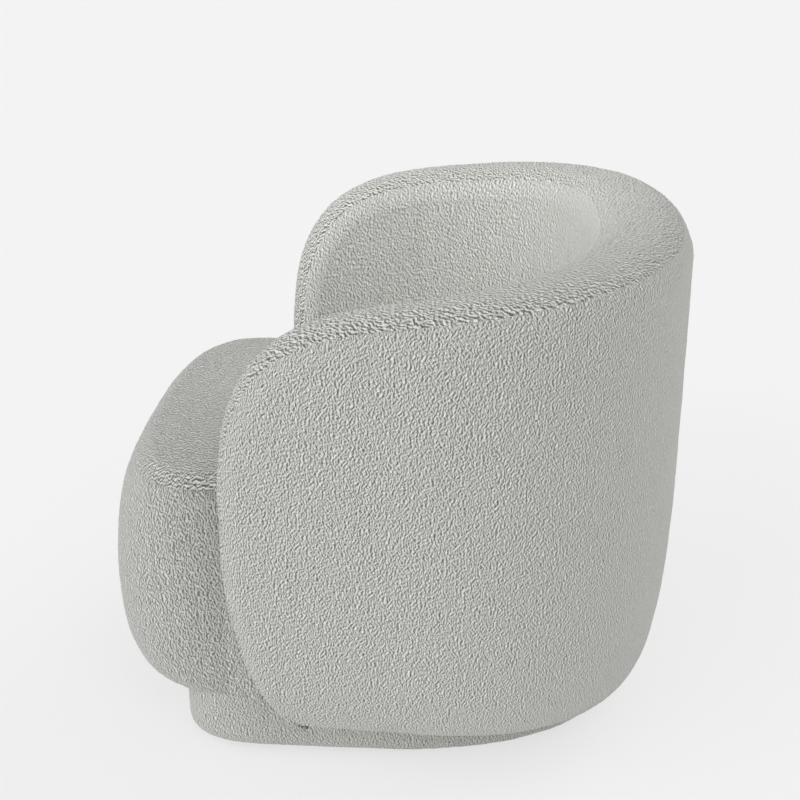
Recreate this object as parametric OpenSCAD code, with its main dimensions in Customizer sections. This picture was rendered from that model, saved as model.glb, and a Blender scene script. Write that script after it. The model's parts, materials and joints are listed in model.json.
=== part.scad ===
// Tub chair: a round upholstered shell of arms and back on a recessed plinth,
// with a fixed, sprung seat block between the arms.
// Millimetres, +Z up, the seat faces -Y, origin on the floor under the middle of the chair.
//
// The shell is drawn on one unrolled sheet. A place on the sheet has a run, measured along the
// outer outline from the arm's front to the middle of the back, and a height. A depth then goes
// in from the outer outline. Every layer of cover, foam, board and frame is cut from that sheet.

/* [Overall] */
// Width over both arms
overall_w = 848; // [740:2:980]
// Depth from the front of the seat to the back
overall_d = 806; // [740:2:920]
// Height to the top of the back
overall_h = 720; // [660:2:820]

/* [Shell outline] */
// From the widest line of the shell to its back
back_reach = 388; // [340:2:440]
// From the widest line of the shell to the arm fronts
arm_reach = 232; // [190:2:270]
// How far each arm front turns in from the widest line
arm_toe_in = 22; // [5:1:40]
// Squareness of the back's outline, 2 is an ellipse
plan_power = 2.35; // [2:0.05:3]

/* [Shell rim] */
// Height that the rim's curve starts from at the arm fronts
arm_h = 644; // [580:2:660]
// Shape of the rim's climb to the back, 1 is a straight climb
rim_rise_power = 0.66; // [0.5:0.02:1.4]
// Height of the foremost point of an arm
nose_h = 336; // [280:2:380]
// Run of the curve over the arm front's top
nose_top_run = 300; // [220:2:330]
// Squareness of the arm front's top
nose_top_power = 3.7; // [2.4:0.1:4]
// Run of the curve under the arm front
nose_foot_run = 110; // [80:2:140]
// Squareness of the curve under the arm front
nose_foot_power = 1.7; // [1.6:0.1:2.4]
// Height of the shell's lower edge
shell_base_h = 69; // [62:1:80]

/* [Shell wall] */
// Thickness of the wall at the arms
arm_wall = 104; // [98:1:124]
// Thickness of the wall at the middle of the back
back_wall = 140; // [120:1:160]
// Corner radius along both edges of the rim
rim_corner = 46; // [36:1:48]
// Rise of the rim's crown between its corners
rim_crown = 5; // [0:1:8]
// Inward lean of the arms, as a share of the height below the top
side_lean_share = 0.053; // [0:0.001:0.06]
// Inward lean of the back, as a share of the height below the top
back_lean_share = 0.01; // [0:0.001:0.03]
// How far the arms' lower edge is drawn in
arm_tuck = 84; // [70:1:86]
// Height at which the arms start to draw in
arm_tuck_h = 217; // [190:1:240]
// Roundness of the arms' drawn-in foot
arm_tuck_power = 2.2; // [2:0.1:3]
// How far the back's lower edge is drawn in
back_tuck = 49; // [30:1:60]
// Height at which the back starts to draw in
back_tuck_h = 400; // [320:2:440]
// Roundness of the back's drawn-in foot
back_tuck_power = 2.5; // [2:0.1:3]
// How far the hidden inner face follows the drawn-in foot
inner_tuck = 14; // [10:1:24]

/* [Seat block] */
// Height of the seat's crown
seat_h = 427; // [405:1:445]
// Height of the seam round the seat's top panel
seat_seam_h = 401; // [380:1:407]
// Height at which the front border bulges most
seat_bulge_h = 230; // [200:1:260]
// Height of the seat block's underside
seat_base_h = 97; // [90:1:105]
// Depth of the seat's round front, ahead of the arm fronts
seat_front_depth = 186; // [150:2:200]
// Squareness of the seat's round front
seat_plan_power = 3.1; // [2.2:0.1:4]
// How far the border draws back from its bulge to the top
seat_top_round = 66; // [50:1:75]
// Roundness of the border's upper half
seat_top_power = 1.93; // [1.8:0.01:3]
// How far the border draws back from its bulge to the underside
seat_foot_round = 70; // [60:1:75]
// Roundness of the border's lower half
seat_foot_power = 2.8; // [2:0.1:3.2]
// Depth of the dip where the seat meets the arms and back
seat_edge_dip = 20; // [6:1:24]
// Width of that dip
seat_edge_run = 24; // [18:1:55]

/* [Plinth] */
// Width of the plinth
plinth_w = 600; // [560:2:606]
// From the front of the seat back to the plinth's front
plinth_front_set = 110; // [100:1:135]
// From the back of the shell in to the plinth's back
plinth_back_set = 62; // [60:1:80]
// Depth of the plinth's squarish front half
plinth_front_depth = 263; // [220:1:280]
// Squareness of the plinth's front half
plinth_front_power = 7; // [4:0.5:8]
// Radius of the plinth's padded lower edge
plinth_edge = 26; // [20:1:34]
// Height of the plinth's lower edge above the floor
plinth_clear = 9; // [7:1:14]

/* [Layers] */
// Thickness of the looped pile cover
cover_t = 3; // [2:0.5:4]
// Thickness of the wadding on the outside
wadding_t = 12; // [8:1:16]
// Thickness of the bent boards
board_t = 3; // [2:0.5:4]
// Thickness of the foam inside the arms and back
inner_foam_t = 36; // [30:1:42]
// Thickness of the foam over the rim
rim_foam_t = 44; // [38:1:48]
// Thickness of the rim strip
strip_t = 4; // [3:0.5:6]
// Thickness of the soft topper on the seat
topper_t = 20; // [15:1:30]
// Gap between layers that lie on each other
layer_gap = 0.3; // [0.2:0.1:0.5]

/* [Frame] */
// Thickness of the plywood rings
ply_t = 18; // [15:1:20]
// Thickness of the plywood ribs
rib_t = 15; // [12:1:18]
// Width of the plinth rings and the base ring
ring_w = 80; // [60:2:90]
// Height of the seat ring's underside
seat_ring_h = 240; // [234:1:246]
// How far the seat ring and the rib feet reach in past the inner face
ledge_w = 62; // [50:1:70]
// Web that each rib keeps outside the seat ring's slot
rib_web = 20; // [16:1:24]
// Width of the spring frame's rails
spring_rail_w = 46; // [40:1:52]
// Side of the square posts
post_w = 32; // [26:1:36]
// Set-back of the seat's front board from the bulge
front_board_set = 72; // [68:1:80]

/* [Springs and fixings] */
// Diameter of the spring wire
wire_d = 3.8; // [3:0.2:4.4]
// Width of a spring over its bends
spring_w = 50; // [44:1:56]
// Spacing of the springs
spring_pitch = 84; // [76:1:86]
// Distance between a spring's crosswise runs
spring_step = 26; // [22:1:30]
// Diameter of the cross ties
tie_d = 3; // [2:0.5:4]
// Diameter of the frame bolts
bolt_d = 8; // [6:1:10]
// Diameter of the feet
foot_d = 46; // [40:1:52]
// Height of the plastic glide under each foot block
glide_h = 12; // [8:1:15]

/* [Hidden] */
SIDES = ["right", "left"];
RIB_COUNT = 6;
function rib_name(side, k) = str(side, "_rib_", k);

CLOTH = "#b7b8b3";
FOAM = "#e9dfae";
WADDING = "#f2f2ee";
PLY = "#d8b98a";
BEECH = "#c99c63";
BOARD = "#8a6a45";
STEEL = "#9aa0a6";
BLACK = "#26272a";

// Sizes of small pieces and places on them
rib_gap = 1.2;
foot_bearing = 15;
front_plate_drop = 7;
plinth_wadding_t = 8;
plinth_hem = 14;
lining_t = 0.7;
screw_d = 4;
screw_head_d = 8;
screw_head_h = 3;
seat_crown = 6;
seat_ease = 5;
seat_meet_run = 45;
side_foam_t = 16;
spring_rail_set = 6;
clip_t = 1.5;
clip_w = 12;
clip_l = 30;
former_run = 92;
ring_start_run = 70;
bolt_line_share = 0.72;
foot_line_share = 0.7;
wall_mid_share = 0.5;
foot_split_share = 0.6;
crown_share = 0.5;
foam_level_share = 0.5;
foot_place_angles = [45, 100, 150];
bolt_place_angles = [84, 108, 140, 172];
post_angles = [12, 30, 70, 120, 160];
front_post_angles = [12, 48];
tie_shares = [0.3, 0.5, 0.7];
runs_fused = 4;

half_w = overall_w / 2 + side_lean_share * (overall_h - arm_h);
half_d = overall_d / 2;
widest_y = half_d - back_reach;
overrun = layer_gap * 4;

// Places of the layers: how far each lies in from the finished surface
foam_set = cover_t + layer_gap;
board_set = foam_set + wadding_t + layer_gap;
rib_set = board_set + board_t + rib_gap;
inner_board_set = foam_set + inner_foam_t + layer_gap;
inner_rib_set = inner_board_set + board_t + rib_gap;
rim_split = foam_set + rim_foam_t;
strip_set = rim_split + layer_gap;
frame_set = strip_set + strip_t + layer_gap;

// Heights of the frame
ring_bottom_h = plinth_clear + ply_t;
base_ring_h = seat_base_h - ply_t + front_plate_drop;
base_top_h = base_ring_h + ply_t;
seat_ring_top = seat_ring_h + ply_t;
spring_deck_h = seat_ring_top + 2 * ply_t;
inner_base_h = seat_ring_top + layer_gap;
seat_edge_h = seat_h - seat_crown;

// Shape of a quarter superellipse: 0 at the start of a bend, 1 at its end
function clip(u) = max(0, min(1, u));
function drop(u, p) = 1 - pow(1 - pow(clip(u), p), 1 / p);
function mix(a, b, t) = a + (b - a) * t;
function last(list) = list[len(list) - 1];
function flip(list) = [for (k = [len(list) - 1:-1:0]) list[k]];
function mirrored(p) = [-p.x, p.y, p.z];
function flat(lists) = [for (a = lists) for (b = a) b];

// The shell's outer outline in plan, right half, from the arm front round to the back
plan_steps = 72;
arm_share = arm_reach / (arm_reach + half_w);
function arm_x(y) = half_w - arm_toe_in * pow(y / arm_reach, 2);
function bend(th) = [half_w * pow(sin(th), 2 / plan_power), back_reach * pow(cos(th), 2 / plan_power)];
function plan_raw(g) = g < arm_share
    ? let (y = -arm_reach * (1 - g / arm_share)) [arm_x(y), y]
    : bend(90 * (1 - g) / (1 - arm_share));
plan_points = [for (k = [0:plan_steps]) plan_raw(k / plan_steps)];
function step_length(k) = k < plan_steps ? norm(plan_points[k + 1] - plan_points[k]) : 0;
run_table = [for (k = 0, run = 0; k <= plan_steps; run = run + step_length(k), k = k + 1)
    [run, k / plan_steps]];
half_run = last(run_table)[0];
function plan_at(run) = plan_raw(lookup(run, run_table));
function arm_slope(y) = 2 * arm_toe_in * y / pow(arm_reach, 2);
function bend_slope(p) = [
    pow(p.x / half_w, plan_power - 1) / half_w,
    pow(p.y / back_reach, plan_power - 1) / back_reach
];
function unit(v) = v / norm(v);
function plan_normal(run) = let (p = plan_at(run)) unit(p.y < 0 ? [1, arm_slope(p.y)] : bend_slope(p));
function in_plan(run, depth) = plan_at(run) - plan_normal(run) * depth + [0, widest_y];
function at(run, z, depth) = let (p = in_plan(run, depth)) [p.x, p.y, z];

// Heights and depths over the sheet
function backness(run) = clip(plan_at(run).y / back_reach);
function wall(run) = mix(arm_wall, back_wall, backness(run));
function lean(run) = mix(side_lean_share, back_lean_share, backness(run));
function rise(run) = clip((plan_at(run).y + arm_reach) / (back_reach + arm_reach));
function rim_h(run) = mix(arm_h, overall_h, pow(rise(run), rim_rise_power));
function arm_draw(z) = drop((arm_tuck_h - z) / (arm_tuck_h - shell_base_h), arm_tuck_power);
function back_draw(z) = drop((back_tuck_h - z) / (back_tuck_h - shell_base_h), back_tuck_power);
function outer_depth(run, z) = lean(run) * max(0, overall_h - z)
    + mix(arm_tuck * arm_draw(z), back_tuck * back_draw(z), pow(backness(run), 1.5));
function inner_face(run) = wall(run) + lean(run) * (overall_h - rim_h(run) + rim_corner);
function inner_depth(run, z) = inner_face(run) + inner_tuck * arm_draw(z) * (1 - backness(run));

// The rim's outline on the sheet, as stations [run, height, corner radius]
foot_angles = [80, 60, 42, 26, 12];
tip_angles = [5, 14, 26, 38, 50, 62, 76, 85];
back_steps = 9;
function foot_station(a) = [
    nose_foot_run * (1 - pow(cos(a), 2 / nose_foot_power)),
    nose_h - (nose_h - shell_base_h) * pow(sin(a), 2 / nose_foot_power),
    rim_corner * cos(a)
];
function tip_station(a) = let (run = nose_top_run * (1 - pow(cos(a), 2 / nose_top_power))) [
    run,
    mix(nose_h, rim_h(run), pow(sin(a), 2 / nose_top_power)),
    rim_corner
];
function back_station(k) = let (run = mix(nose_top_run, half_run, k / back_steps))
    [run, rim_h(run), rim_corner];
stations = concat(
    [for (a = foot_angles) foot_station(a)],
    [[0, nose_h, rim_corner]],
    [for (a = tip_angles) tip_station(a)],
    [for (k = [0:back_steps]) back_station(k)]
);
tip_index = len(foot_angles);
nose_count = tip_index + len(tip_angles) + 1;
station_count = len(stations);
arm_runs = [stations[nose_count - 2][0], stations[nose_count - 1][0]];
back_runs = [for (k = [nose_count:station_count - 1]) stations[k][0]];
rib_runs = concat(arm_runs, [for (k = [1, 3, 5, 7]) back_runs[k]]);
function chord(k) = k == station_count - 1
    ? [stations[k][0] - stations[k - 1][0], 0]
    : k == 0
        ? [stations[1][0] - stations[0][0], stations[1][1] - stations[0][1]]
        : [stations[k + 1][0] - stations[k - 1][0], stations[k + 1][1] - stations[k - 1][1]];
function inward(k) = let (t = unit(chord(k))) [t[1], -t[0]];
function inset_place(k, e) = [stations[k][0], stations[k][1]] + inward(k) * e;

// A point on the rim's rounded section: across is -1 at the outer face and 1 at the inner face,
// angle is 0 on the face and 90 on the crown, inset goes in from the finished surface
function half_wall(place) = (inner_depth(place[0], place[1]) - outer_depth(place[0], place[1])) / 2;
function mid_depth(place) = (inner_depth(place[0], place[1]) + outer_depth(place[0], place[1])) / 2;
function corner(k, half) = min(stations[k][2], half * 0.9);
function rim_point(k, side, angle, inset) =
    let (half = half_wall(inset_place(k, rim_corner / 2)))
    let (radius = max(corner(k, half) - inset, cover_t / 2))
    let (across = side * (half - inset - radius * (1 - cos(angle))))
    let (e = inset + radius * (1 - sin(angle)) + rim_crown * pow(across / half, 2) * sin(angle))
    let (place = inset_place(k, e))
    at(place[0], place[1], mid_depth(place) + across);
function crown_point(k, inset) =
    let (place = inset_place(k, inset))
    at(place[0], place[1], mid_depth(place));

// Depth of a layer: face -1 counts in from the outer face, face 1 back from the inner face
function layer_depth(place, face, inset) = face < 0
    ? outer_depth(place[0], place[1]) + inset
    : inner_depth(place[0], place[1]) - inset;

// Columns of a wall panel fan from the rim down to the panel's lower edge
function foot_run_at(k, first, from) = k >= nose_count
    ? stations[k][0]
    : mix(from, nose_top_run, (k - first) / (nose_count - first));
function place_at(top, foot, z) = mix(top, foot, (top[1] - z) / (top[1] - foot[1]));

// Rows of the outer face. All its layers take the same rows, so they nest in one another
tuck_shares = [1, 0.68, 0.42];
tuck_levels = concat(
    [for (share = tuck_shares) mix(shell_base_h, arm_tuck_h, share)],
    [base_top_h, base_ring_h, shell_base_h + foam_set, shell_base_h]
);
function split_h(top_h) = min(arm_tuck_h, mix(shell_base_h, top_h, foot_split_share));
function squeezed(z, split) = mix(shell_base_h, split, (z - shell_base_h) / (arm_tuck_h - shell_base_h));
function outer_column(k, e, inset, dropped) =
    let (top = inset_place(k, e), foot = [foot_run_at(k, 0, nose_foot_run), shell_base_h])
    let (split = split_h(top[1]), kept = len(tuck_levels) - dropped)
    let (rows = concat(
        [top[1], mix(split, top[1], wall_mid_share)],
        [for (j = [0:kept - 1]) squeezed(tuck_levels[j], split)]
    ))
    [for (z = rows)
        let (place = place_at(top, foot, z))
        at(place[0], z, outer_depth(place[0], z) + inset)];

// Columns of the inner face end on the seat ring, ahead of them the rim's foot runs on down
function foot_front(e, z) = lookup(z, [for (k = [0:tip_index])
    let (place = inset_place(k, e))
    [place[1], place[0]]]);
function inner_column(k, e, inset) =
    let (top = inset_place(k, e))
    let (foot = [foot_run_at(k, inner_first, foot_front(max(e, rim_split), inner_base_h)), inner_base_h])
    [for (share = inner_shares)
        let (place = mix(top, foot, share))
        at(place[0], place[1], inner_depth(place[0], place[1]) - inset)];
function both_sides(columns) =
    let (other = flip(columns))
    concat(columns, [for (k = [1:len(other) - 1]) [for (p = other[k]) mirrored(p)]]);

// A closed sheet between two equal grids of points. Seen from the first grid's side, its columns
// run to the right and its rows run down. Turned quads split along their other diagonal
function strip_faces(a, b, c, d) = [[a, b, c], [a, c, d]];
function grid_faces(cols, rows, base, out, turned) = flat([
    for (i = [0:cols - 2]) for (j = [0:rows - 2])
        let (a = base + i * rows + j, b = a + 1, c = a + rows + 1, d = a + rows)
        let (near = out ? d : b, far = out ? b : d)
        turned ? strip_faces(near, c, far, a) : strip_faces(a, near, c, far)
]);
function edge_faces(ring, shift) = flat([
    for (k = [0:len(ring) - 1])
        let (a = ring[k], b = ring[(k + 1) % len(ring)])
        strip_faces(a, b, b + shift, a + shift)
]);
function grid_edge(cols, rows) = concat(
    [for (j = [0:rows - 1]) j],
    [for (i = [1:cols - 1]) i * rows + rows - 1],
    [for (j = [rows - 2:-1:0]) (cols - 1) * rows + j],
    [for (i = [cols - 2:-1:1]) i * rows]
);
module sheet(front, rear, turned = false) {
    cols = len(front);
    rows = len(front[0]);
    count = cols * rows;
    polyhedron(
        points = concat(flat(front), flat(rear)),
        faces = concat(
            grid_faces(cols, rows, 0, true, turned),
            grid_faces(cols, rows, count, false, turned),
            edge_faces(grid_edge(cols, rows), count)
        )
    );
}

// A solid through closed rings of points, with flat ends. Turned quads split the other way
function tube_faces(rings, size, turned) = flat([
    for (i = [0:rings - 2]) for (j = [0:size - 1])
        let (a = i * size + j, b = i * size + (j + 1) % size, c = b + size, d = a + size)
        turned ? strip_faces(d, c, b, a) : strip_faces(a, d, c, b)
]);
module loft(rings, turned = false) {
    size = len(rings[0]);
    count = len(rings);
    polyhedron(
        points = flat(rings),
        faces = concat(
            tube_faces(count, size, turned),
            [[for (j = [0:size - 1]) j]],
            [[for (j = [size - 1:-1:0]) (count - 1) * size + j]]
        )
    );
}

// A closed band: rings run up its outside and down its inside, the last joins the first
function band_faces(rings, size) = flat([
    for (i = [0:rings - 1]) for (j = [0:size - 1])
        let (a = i * size + j, b = i * size + (j + 1) % size)
        let (d = ((i + 1) % rings) * size + j, c = ((i + 1) % rings) * size + (j + 1) % size)
        strip_faces(a, d, c, b)
]);
module band(rings) {
    polyhedron(points = flat(rings), faces = band_faces(len(rings), len(rings[0])));
}

// A dome: rings rising to one middle point above and one below
module cap(rings, top, bottom) {
    size = len(rings[0]);
    count = len(rings);
    polyhedron(
        points = concat(flat(rings), [top, bottom]),
        faces = concat(
            tube_faces(count, size, false),
            [for (j = [0:size - 1]) [j, (j + 1) % size, count * size + 1]],
            [for (j = [0:size - 1])
                [(count - 1) * size + (j + 1) % size, (count - 1) * size + j, count * size]]
        )
    );
}

module plate(points, low, thick) {
    translate([0, 0, low]) linear_extrude(thick) polygon(points);
}
module ring_plate(outline, hole, low, thick) {
    translate([0, 0, low]) linear_extrude(thick) difference() {
        polygon(outline);
        polygon(hole);
    }
}
module both() {
    children();
    mirror([1, 0, 0]) children();
}

// Plinth outline: squarish in front, round like the shell behind
plinth_steps = 48;
plinth_front_y = -half_d + plinth_front_set;
plinth_mid_y = plinth_front_y + plinth_front_depth;
plinth_back_depth = half_d - plinth_back_set - plinth_mid_y;
function signed(v, p) = sign(v) * pow(abs(v), p);
function plinth_point(a, inset) =
    let (front = cos(a) > 0, power = front ? plinth_front_power : plan_power)
    let (reach = (front ? plinth_front_depth : plinth_back_depth) - inset)
    [
        (plinth_w / 2 - inset) * signed(sin(a), 2 / power),
        plinth_mid_y - reach * signed(cos(a), 2 / power)
    ];
function plinth_outline(inset) =
    [for (k = [0:plinth_steps - 1]) plinth_point(360 * k / plinth_steps, inset)];
function plinth_loop(inset, z) = [for (p = plinth_outline(inset)) [p.x, p.y, z]];
function on_plinth(p, inset) =
    let (front = p.y < plinth_mid_y, power = front ? plinth_front_power : plan_power)
    let (reach = (front ? plinth_front_depth : plinth_back_depth) - inset)
    pow(abs(p.x) / (plinth_w / 2 - inset), power) + pow(abs(p.y - plinth_mid_y) / reach, power) < 1;

plinth_board_set = cover_t + plinth_wadding_t + 2 * layer_gap;
plinth_ring_set = plinth_board_set + board_t;
plinth_hole_set = plinth_ring_set + ring_w;
foot_places = [for (a = foot_place_angles) plinth_point(a, plinth_ring_set + ring_w * foot_line_share)];
bolt_places = [for (a = bolt_place_angles) plinth_point(a, plinth_ring_set + ring_w * bolt_line_share)];

module drilled_ring(low, places, bore_r) {
    difference() {
        ring_plate(plinth_outline(plinth_ring_set), plinth_outline(plinth_hole_set), low, ply_t);
        for (p = places, s = [-1, 1]) {
            translate([s * p.x, p.y, low - overrun]) cylinder(r = bore_r, h = ply_t + 2 * overrun, $fn = 24);
        }
    }
}
module plinth_bottom_ring() {
    color(PLY) drilled_ring(ring_bottom_h, foot_places, screw_d / 2 + layer_gap);
}
module plinth_top_ring() {
    color(PLY) drilled_ring(base_ring_h - ply_t, bolt_places, bolt_d / 2 + layer_gap);
}
module base_ring() {
    color(PLY) drilled_ring(base_ring_h, bolt_places, bolt_d / 2 + layer_gap);
}
module plinth_posts() {
    low = ring_bottom_h + ply_t;
    color(BEECH) for (a = post_angles, s = [-1, 1]) {
        p = plinth_point(a, plinth_ring_set + ring_w / 2);
        translate([s * p.x - post_w / 2, p.y - post_w / 2, low])
            cube([post_w, post_w, base_ring_h - ply_t - low]);
    }
}
module plinth_board() {
    color(BOARD) ring_plate(
        plinth_outline(plinth_board_set),
        plinth_outline(plinth_ring_set),
        ring_bottom_h,
        seat_base_h - layer_gap - ring_bottom_h
    );
}

// The plinth's padding and cover roll under its lower edge
roll_angles = [0, 30, 60, 90];
function roll_loop(a, inset) = plinth_loop(
    inset + (plinth_edge - inset) * (1 - cos(a)),
    plinth_clear + plinth_edge - (plinth_edge - inset) * sin(a)
);
plinth_top_h = seat_base_h - layer_gap;
module plinth_cover() {
    tail = plinth_edge + plinth_hem;
    color(CLOTH) band(concat(
        [plinth_loop(tail, plinth_clear)],
        [for (a = flip(roll_angles)) roll_loop(a, 0)],
        [plinth_loop(0, plinth_top_h), plinth_loop(cover_t, plinth_top_h)],
        [for (a = roll_angles) roll_loop(a, cover_t)],
        [plinth_loop(tail, plinth_clear + cover_t)]
    ));
}
module plinth_wadding() {
    set = cover_t + layer_gap;
    inner = plinth_board_set - layer_gap;
    low = ring_bottom_h - board_t - layer_gap;
    color(WADDING) band(concat(
        [plinth_loop(plinth_edge + plinth_hem, plinth_clear + set)],
        [for (a = flip(roll_angles)) roll_loop(a, set)],
        [plinth_loop(set, plinth_top_h), plinth_loop(inner, plinth_top_h)],
        [plinth_loop(inner, low), plinth_loop(plinth_edge + plinth_hem, low)]
    ));
}
module dust_cover() {
    hole_r = foot_d / 2 + layer_gap;
    color(BLACK) difference() {
        plate(plinth_outline(plinth_ring_set), ring_bottom_h - layer_gap - lining_t, lining_t);
        for (p = foot_places, s = [-1, 1]) {
            translate([s * p.x, p.y, ring_bottom_h - 2 * ply_t])
                cylinder(r = hole_r, h = 3 * ply_t, $fn = 48);
        }
    }
}
module bore(d, h) {
    translate([0, 0, -overrun]) cylinder(d = d + 2 * layer_gap, h = h + 2 * overrun, $fn = 24);
}
module at_feet() {
    for (p = foot_places, s = [-1, 1]) translate([s * p.x, p.y, 0]) children();
}
block_h = ring_bottom_h - glide_h;
module foot_blocks() {
    color(BEECH) at_feet() translate([0, 0, glide_h]) difference() {
        cylinder(d = foot_d, h = block_h, $fn = 48);
        bore(screw_d, block_h);
        bore(screw_head_d, screw_head_h);
    }
}
module foot_screws() {
    color(STEEL) at_feet() translate([0, 0, glide_h + layer_gap]) {
        cylinder(d = screw_head_d, h = screw_head_h, $fn = 24);
        cylinder(d = screw_d, h = block_h + ply_t - screw_head_h, $fn = 24);
    }
}
module glides() {
    edge = glide_h / 3;
    color(BLACK) at_feet() rotate_extrude($fn = 48) polygon([
        [0, 0], [foot_d / 2 - edge, 0], [foot_d / 2, edge], [foot_d / 2, glide_h], [0, glide_h]
    ]);
}

// Bolts hold the shell's base ring down on the plinth
bolt_low = base_ring_h - ply_t;
washer_t = bolt_d / 5;
head_h = bolt_d * 0.65;
bolt_end = base_top_h + washer_t + head_h;
module at_bolts() {
    for (p = bolt_places, s = [-1, 1]) translate([s * p.x, p.y, 0]) children();
}
module frame_bolts() {
    shank_low = bolt_low - washer_t;
    color(STEEL) at_bolts() {
        translate([0, 0, shank_low - head_h]) cylinder(d = bolt_d * 1.8, h = head_h, $fn = 6);
        translate([0, 0, shank_low]) cylinder(d = bolt_d, h = bolt_end - shank_low, $fn = 24);
    }
}
module bolt_washers() {
    color(STEEL) at_bolts() for (z = [bolt_low - washer_t, base_top_h]) {
        translate([0, 0, z]) difference() {
            cylinder(d = bolt_d * 2.2, h = washer_t, $fn = 32);
            bore(bolt_d, washer_t);
        }
    }
}
module frame_nuts() {
    color(STEEL) at_bolts() translate([0, 0, base_top_h + washer_t]) difference() {
        cylinder(d = bolt_d * 1.8, h = head_h, $fn = 6);
        bore(bolt_d, head_h);
    }
}

// Seat ring: a flat U round the arms and back, let into slots in the ribs
ring_web = rib_set + rib_web;
ring_mid_h = seat_ring_h + ply_t / 2;
ring_runs = concat([ring_start_run], arm_runs, back_runs);
function ring_outer(run) = outer_depth(run, ring_mid_h) + ring_web;
function ring_inner(run) = inner_face(run) + ledge_w;
function u_outline(runs) =
    let (outer = [for (r = runs) in_plan(r, ring_outer(r))])
    let (inner = [for (r = runs) in_plan(r, ring_inner(r))])
    let (half = [for (p = flip(outer)) [-p.x, p.y]])
    let (rest = [for (p = inner) [-p.x, p.y]])
    concat(outer, [for (k = [1:len(half) - 1]) half[k]], rest, [for (k = [1:len(inner) - 1]) flip(inner)[k]]);
module seat_ring() {
    color(PLY) plate(u_outline(ring_runs), seat_ring_h, ply_t);
}

// Ribs stand on the base ring, carry the seat ring in a slot and end under the rim strip
function under_rim(run) = lookup(run, [for (k = [tip_index:station_count - 1]) inset_place(k, frame_set)]);
function over_foot(run) = lookup(run, [for (k = [tip_index:-1:0]) inset_place(k, frame_set)]);
function rib_top(run) = min(under_rim(run - rib_t / 2), under_rim(run + rib_t / 2));
function rib_levels(low, top) = concat(
    [low],
    [for (k = [len(tuck_levels) - 1:-1:0]) if (tuck_levels[k] > low + rib_gap) tuck_levels[k]],
    [mix(arm_tuck_h, top, wall_mid_share), top]
);
function rib_profile(run, low, reach) =
    let (top = rib_top(run))
    let (web = ring_outer(run) - layer_gap)
    let (back = inner_face(run) - inner_rib_set)
    concat(
        [for (z = rib_levels(low, top)) [outer_depth(run, z) + rib_set, z]],
        [[back, top], [back, seat_ring_top + layer_gap], [web, seat_ring_top + layer_gap]],
        [[web, seat_ring_h - layer_gap], [reach, seat_ring_h - layer_gap], [reach, low]]
    );
// A rib's foot reaches in as far as the seat ring's ledge, and on to where the base ring bears it
foot_steps = 80;
function foot_reach(run) =
    let (least = inner_face(run) + ledge_w, step = foot_bearing / 4, inset = plinth_ring_set + foot_bearing)
    let (held = [for (k = [0:foot_steps]) if (on_plinth(in_plan(run, least + k * step), inset)) k])
    least + (len(held) > 0 ? held[0] : 0) * step;
module rib(run, low, reach) {
    p = in_plan(run, 0);
    n = plan_normal(run);
    translate([p.x, p.y, 0]) rotate([0, 0, atan2(-n.y, -n.x)]) rotate([90, 0, 0])
        linear_extrude(rib_t, center = true) polygon(rib_profile(run, low, reach));
}
module side_rib(side, run) {
    mirror([side == "left" ? 1 : 0, 0, 0]) color(PLY) rib(run, base_top_h, foot_reach(run));
}
module centre_rib() {
    color(PLY) rib(half_run, base_top_h, foot_reach(half_run));
}
module arm_front_former(side) {
    low = max(over_foot(former_run - rib_t / 2), over_foot(former_run + rib_t / 2));
    mirror([side == "left" ? 1 : 0, 0, 0]) color(PLY) rib(former_run, low, inner_face(former_run) - rib_gap);
}

// Rim strip and rim foam follow the rim's outline from foot to foot
rim_first = 1;
inner_first = tip_index - 1;
inner_shares = [0, 0.35, 0.7, 1];
function strip_point(k, e, face, set) =
    let (place = inset_place(k, e))
    at(place[0], place[1], layer_depth(place, face, set));
function strip_ring(k) = [
    strip_point(k, strip_set, -1, board_set),
    strip_point(k, strip_set, 1, inner_board_set),
    strip_point(k, strip_set + strip_t, 1, inner_board_set),
    strip_point(k, strip_set + strip_t, -1, board_set)
];
module rim_strip() {
    color(BOARD) loft(both_sides([for (k = [rim_first:station_count - 1]) strip_ring(k)]), true);
}
rim_angles = [0, 22.5, 45, 68, 90];
function foam_ring(k) = concat(
    [strip_point(k, rim_split, -1, board_set), strip_point(k, rim_split, -1, foam_set)],
    [for (a = rim_angles) rim_point(k, -1, a, foam_set)],
    [crown_point(k, foam_set)],
    [for (a = flip(rim_angles)) rim_point(k, 1, a, foam_set)],
    [strip_point(k, rim_split, 1, foam_set), strip_point(k, rim_split, 1, inner_board_set)]
);
module rim_foam() {
    color(FOAM) loft(both_sides([for (k = [rim_first:station_count - 1]) foam_ring(k)]));
}

// Covers of the shell, sewn together along the rim's two edges
seam_angle = 45;
seam_slack = layer_gap / rim_corner * 180 / PI;
edge_angles = [seam_angle, seam_angle / 2];
function face_edge(k) = max(corner(k, half_wall(inset_place(k, rim_corner / 2))), foam_set);
function cover_edge(k, face, inset) = [for (a = edge_angles) rim_point(k, face, a, inset)];
function outer_cover_grid(inset) = both_sides([for (k = [0:station_count - 1])
    concat(cover_edge(k, -1, inset), outer_column(k, face_edge(k), inset, 0))]);
module outer_cover() {
    color(CLOTH) sheet(outer_cover_grid(0), outer_cover_grid(cover_t), true);
}
function inner_cover_grid(inset) = both_sides([for (k = [inner_first:station_count - 1])
    concat(cover_edge(k, 1, inset), inner_column(k, face_edge(k), inset))]);
module inner_cover() {
    color(CLOTH) sheet(inner_cover_grid(cover_t), inner_cover_grid(0));
}
cover_angles = [seam_angle + seam_slack, 68, 90];
function rim_cover_column(k, inset) = concat(
    [for (a = cover_angles) rim_point(k, -1, a, inset)],
    [crown_point(k, inset)],
    [for (a = flip(cover_angles)) rim_point(k, 1, a, inset)]
);
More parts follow.
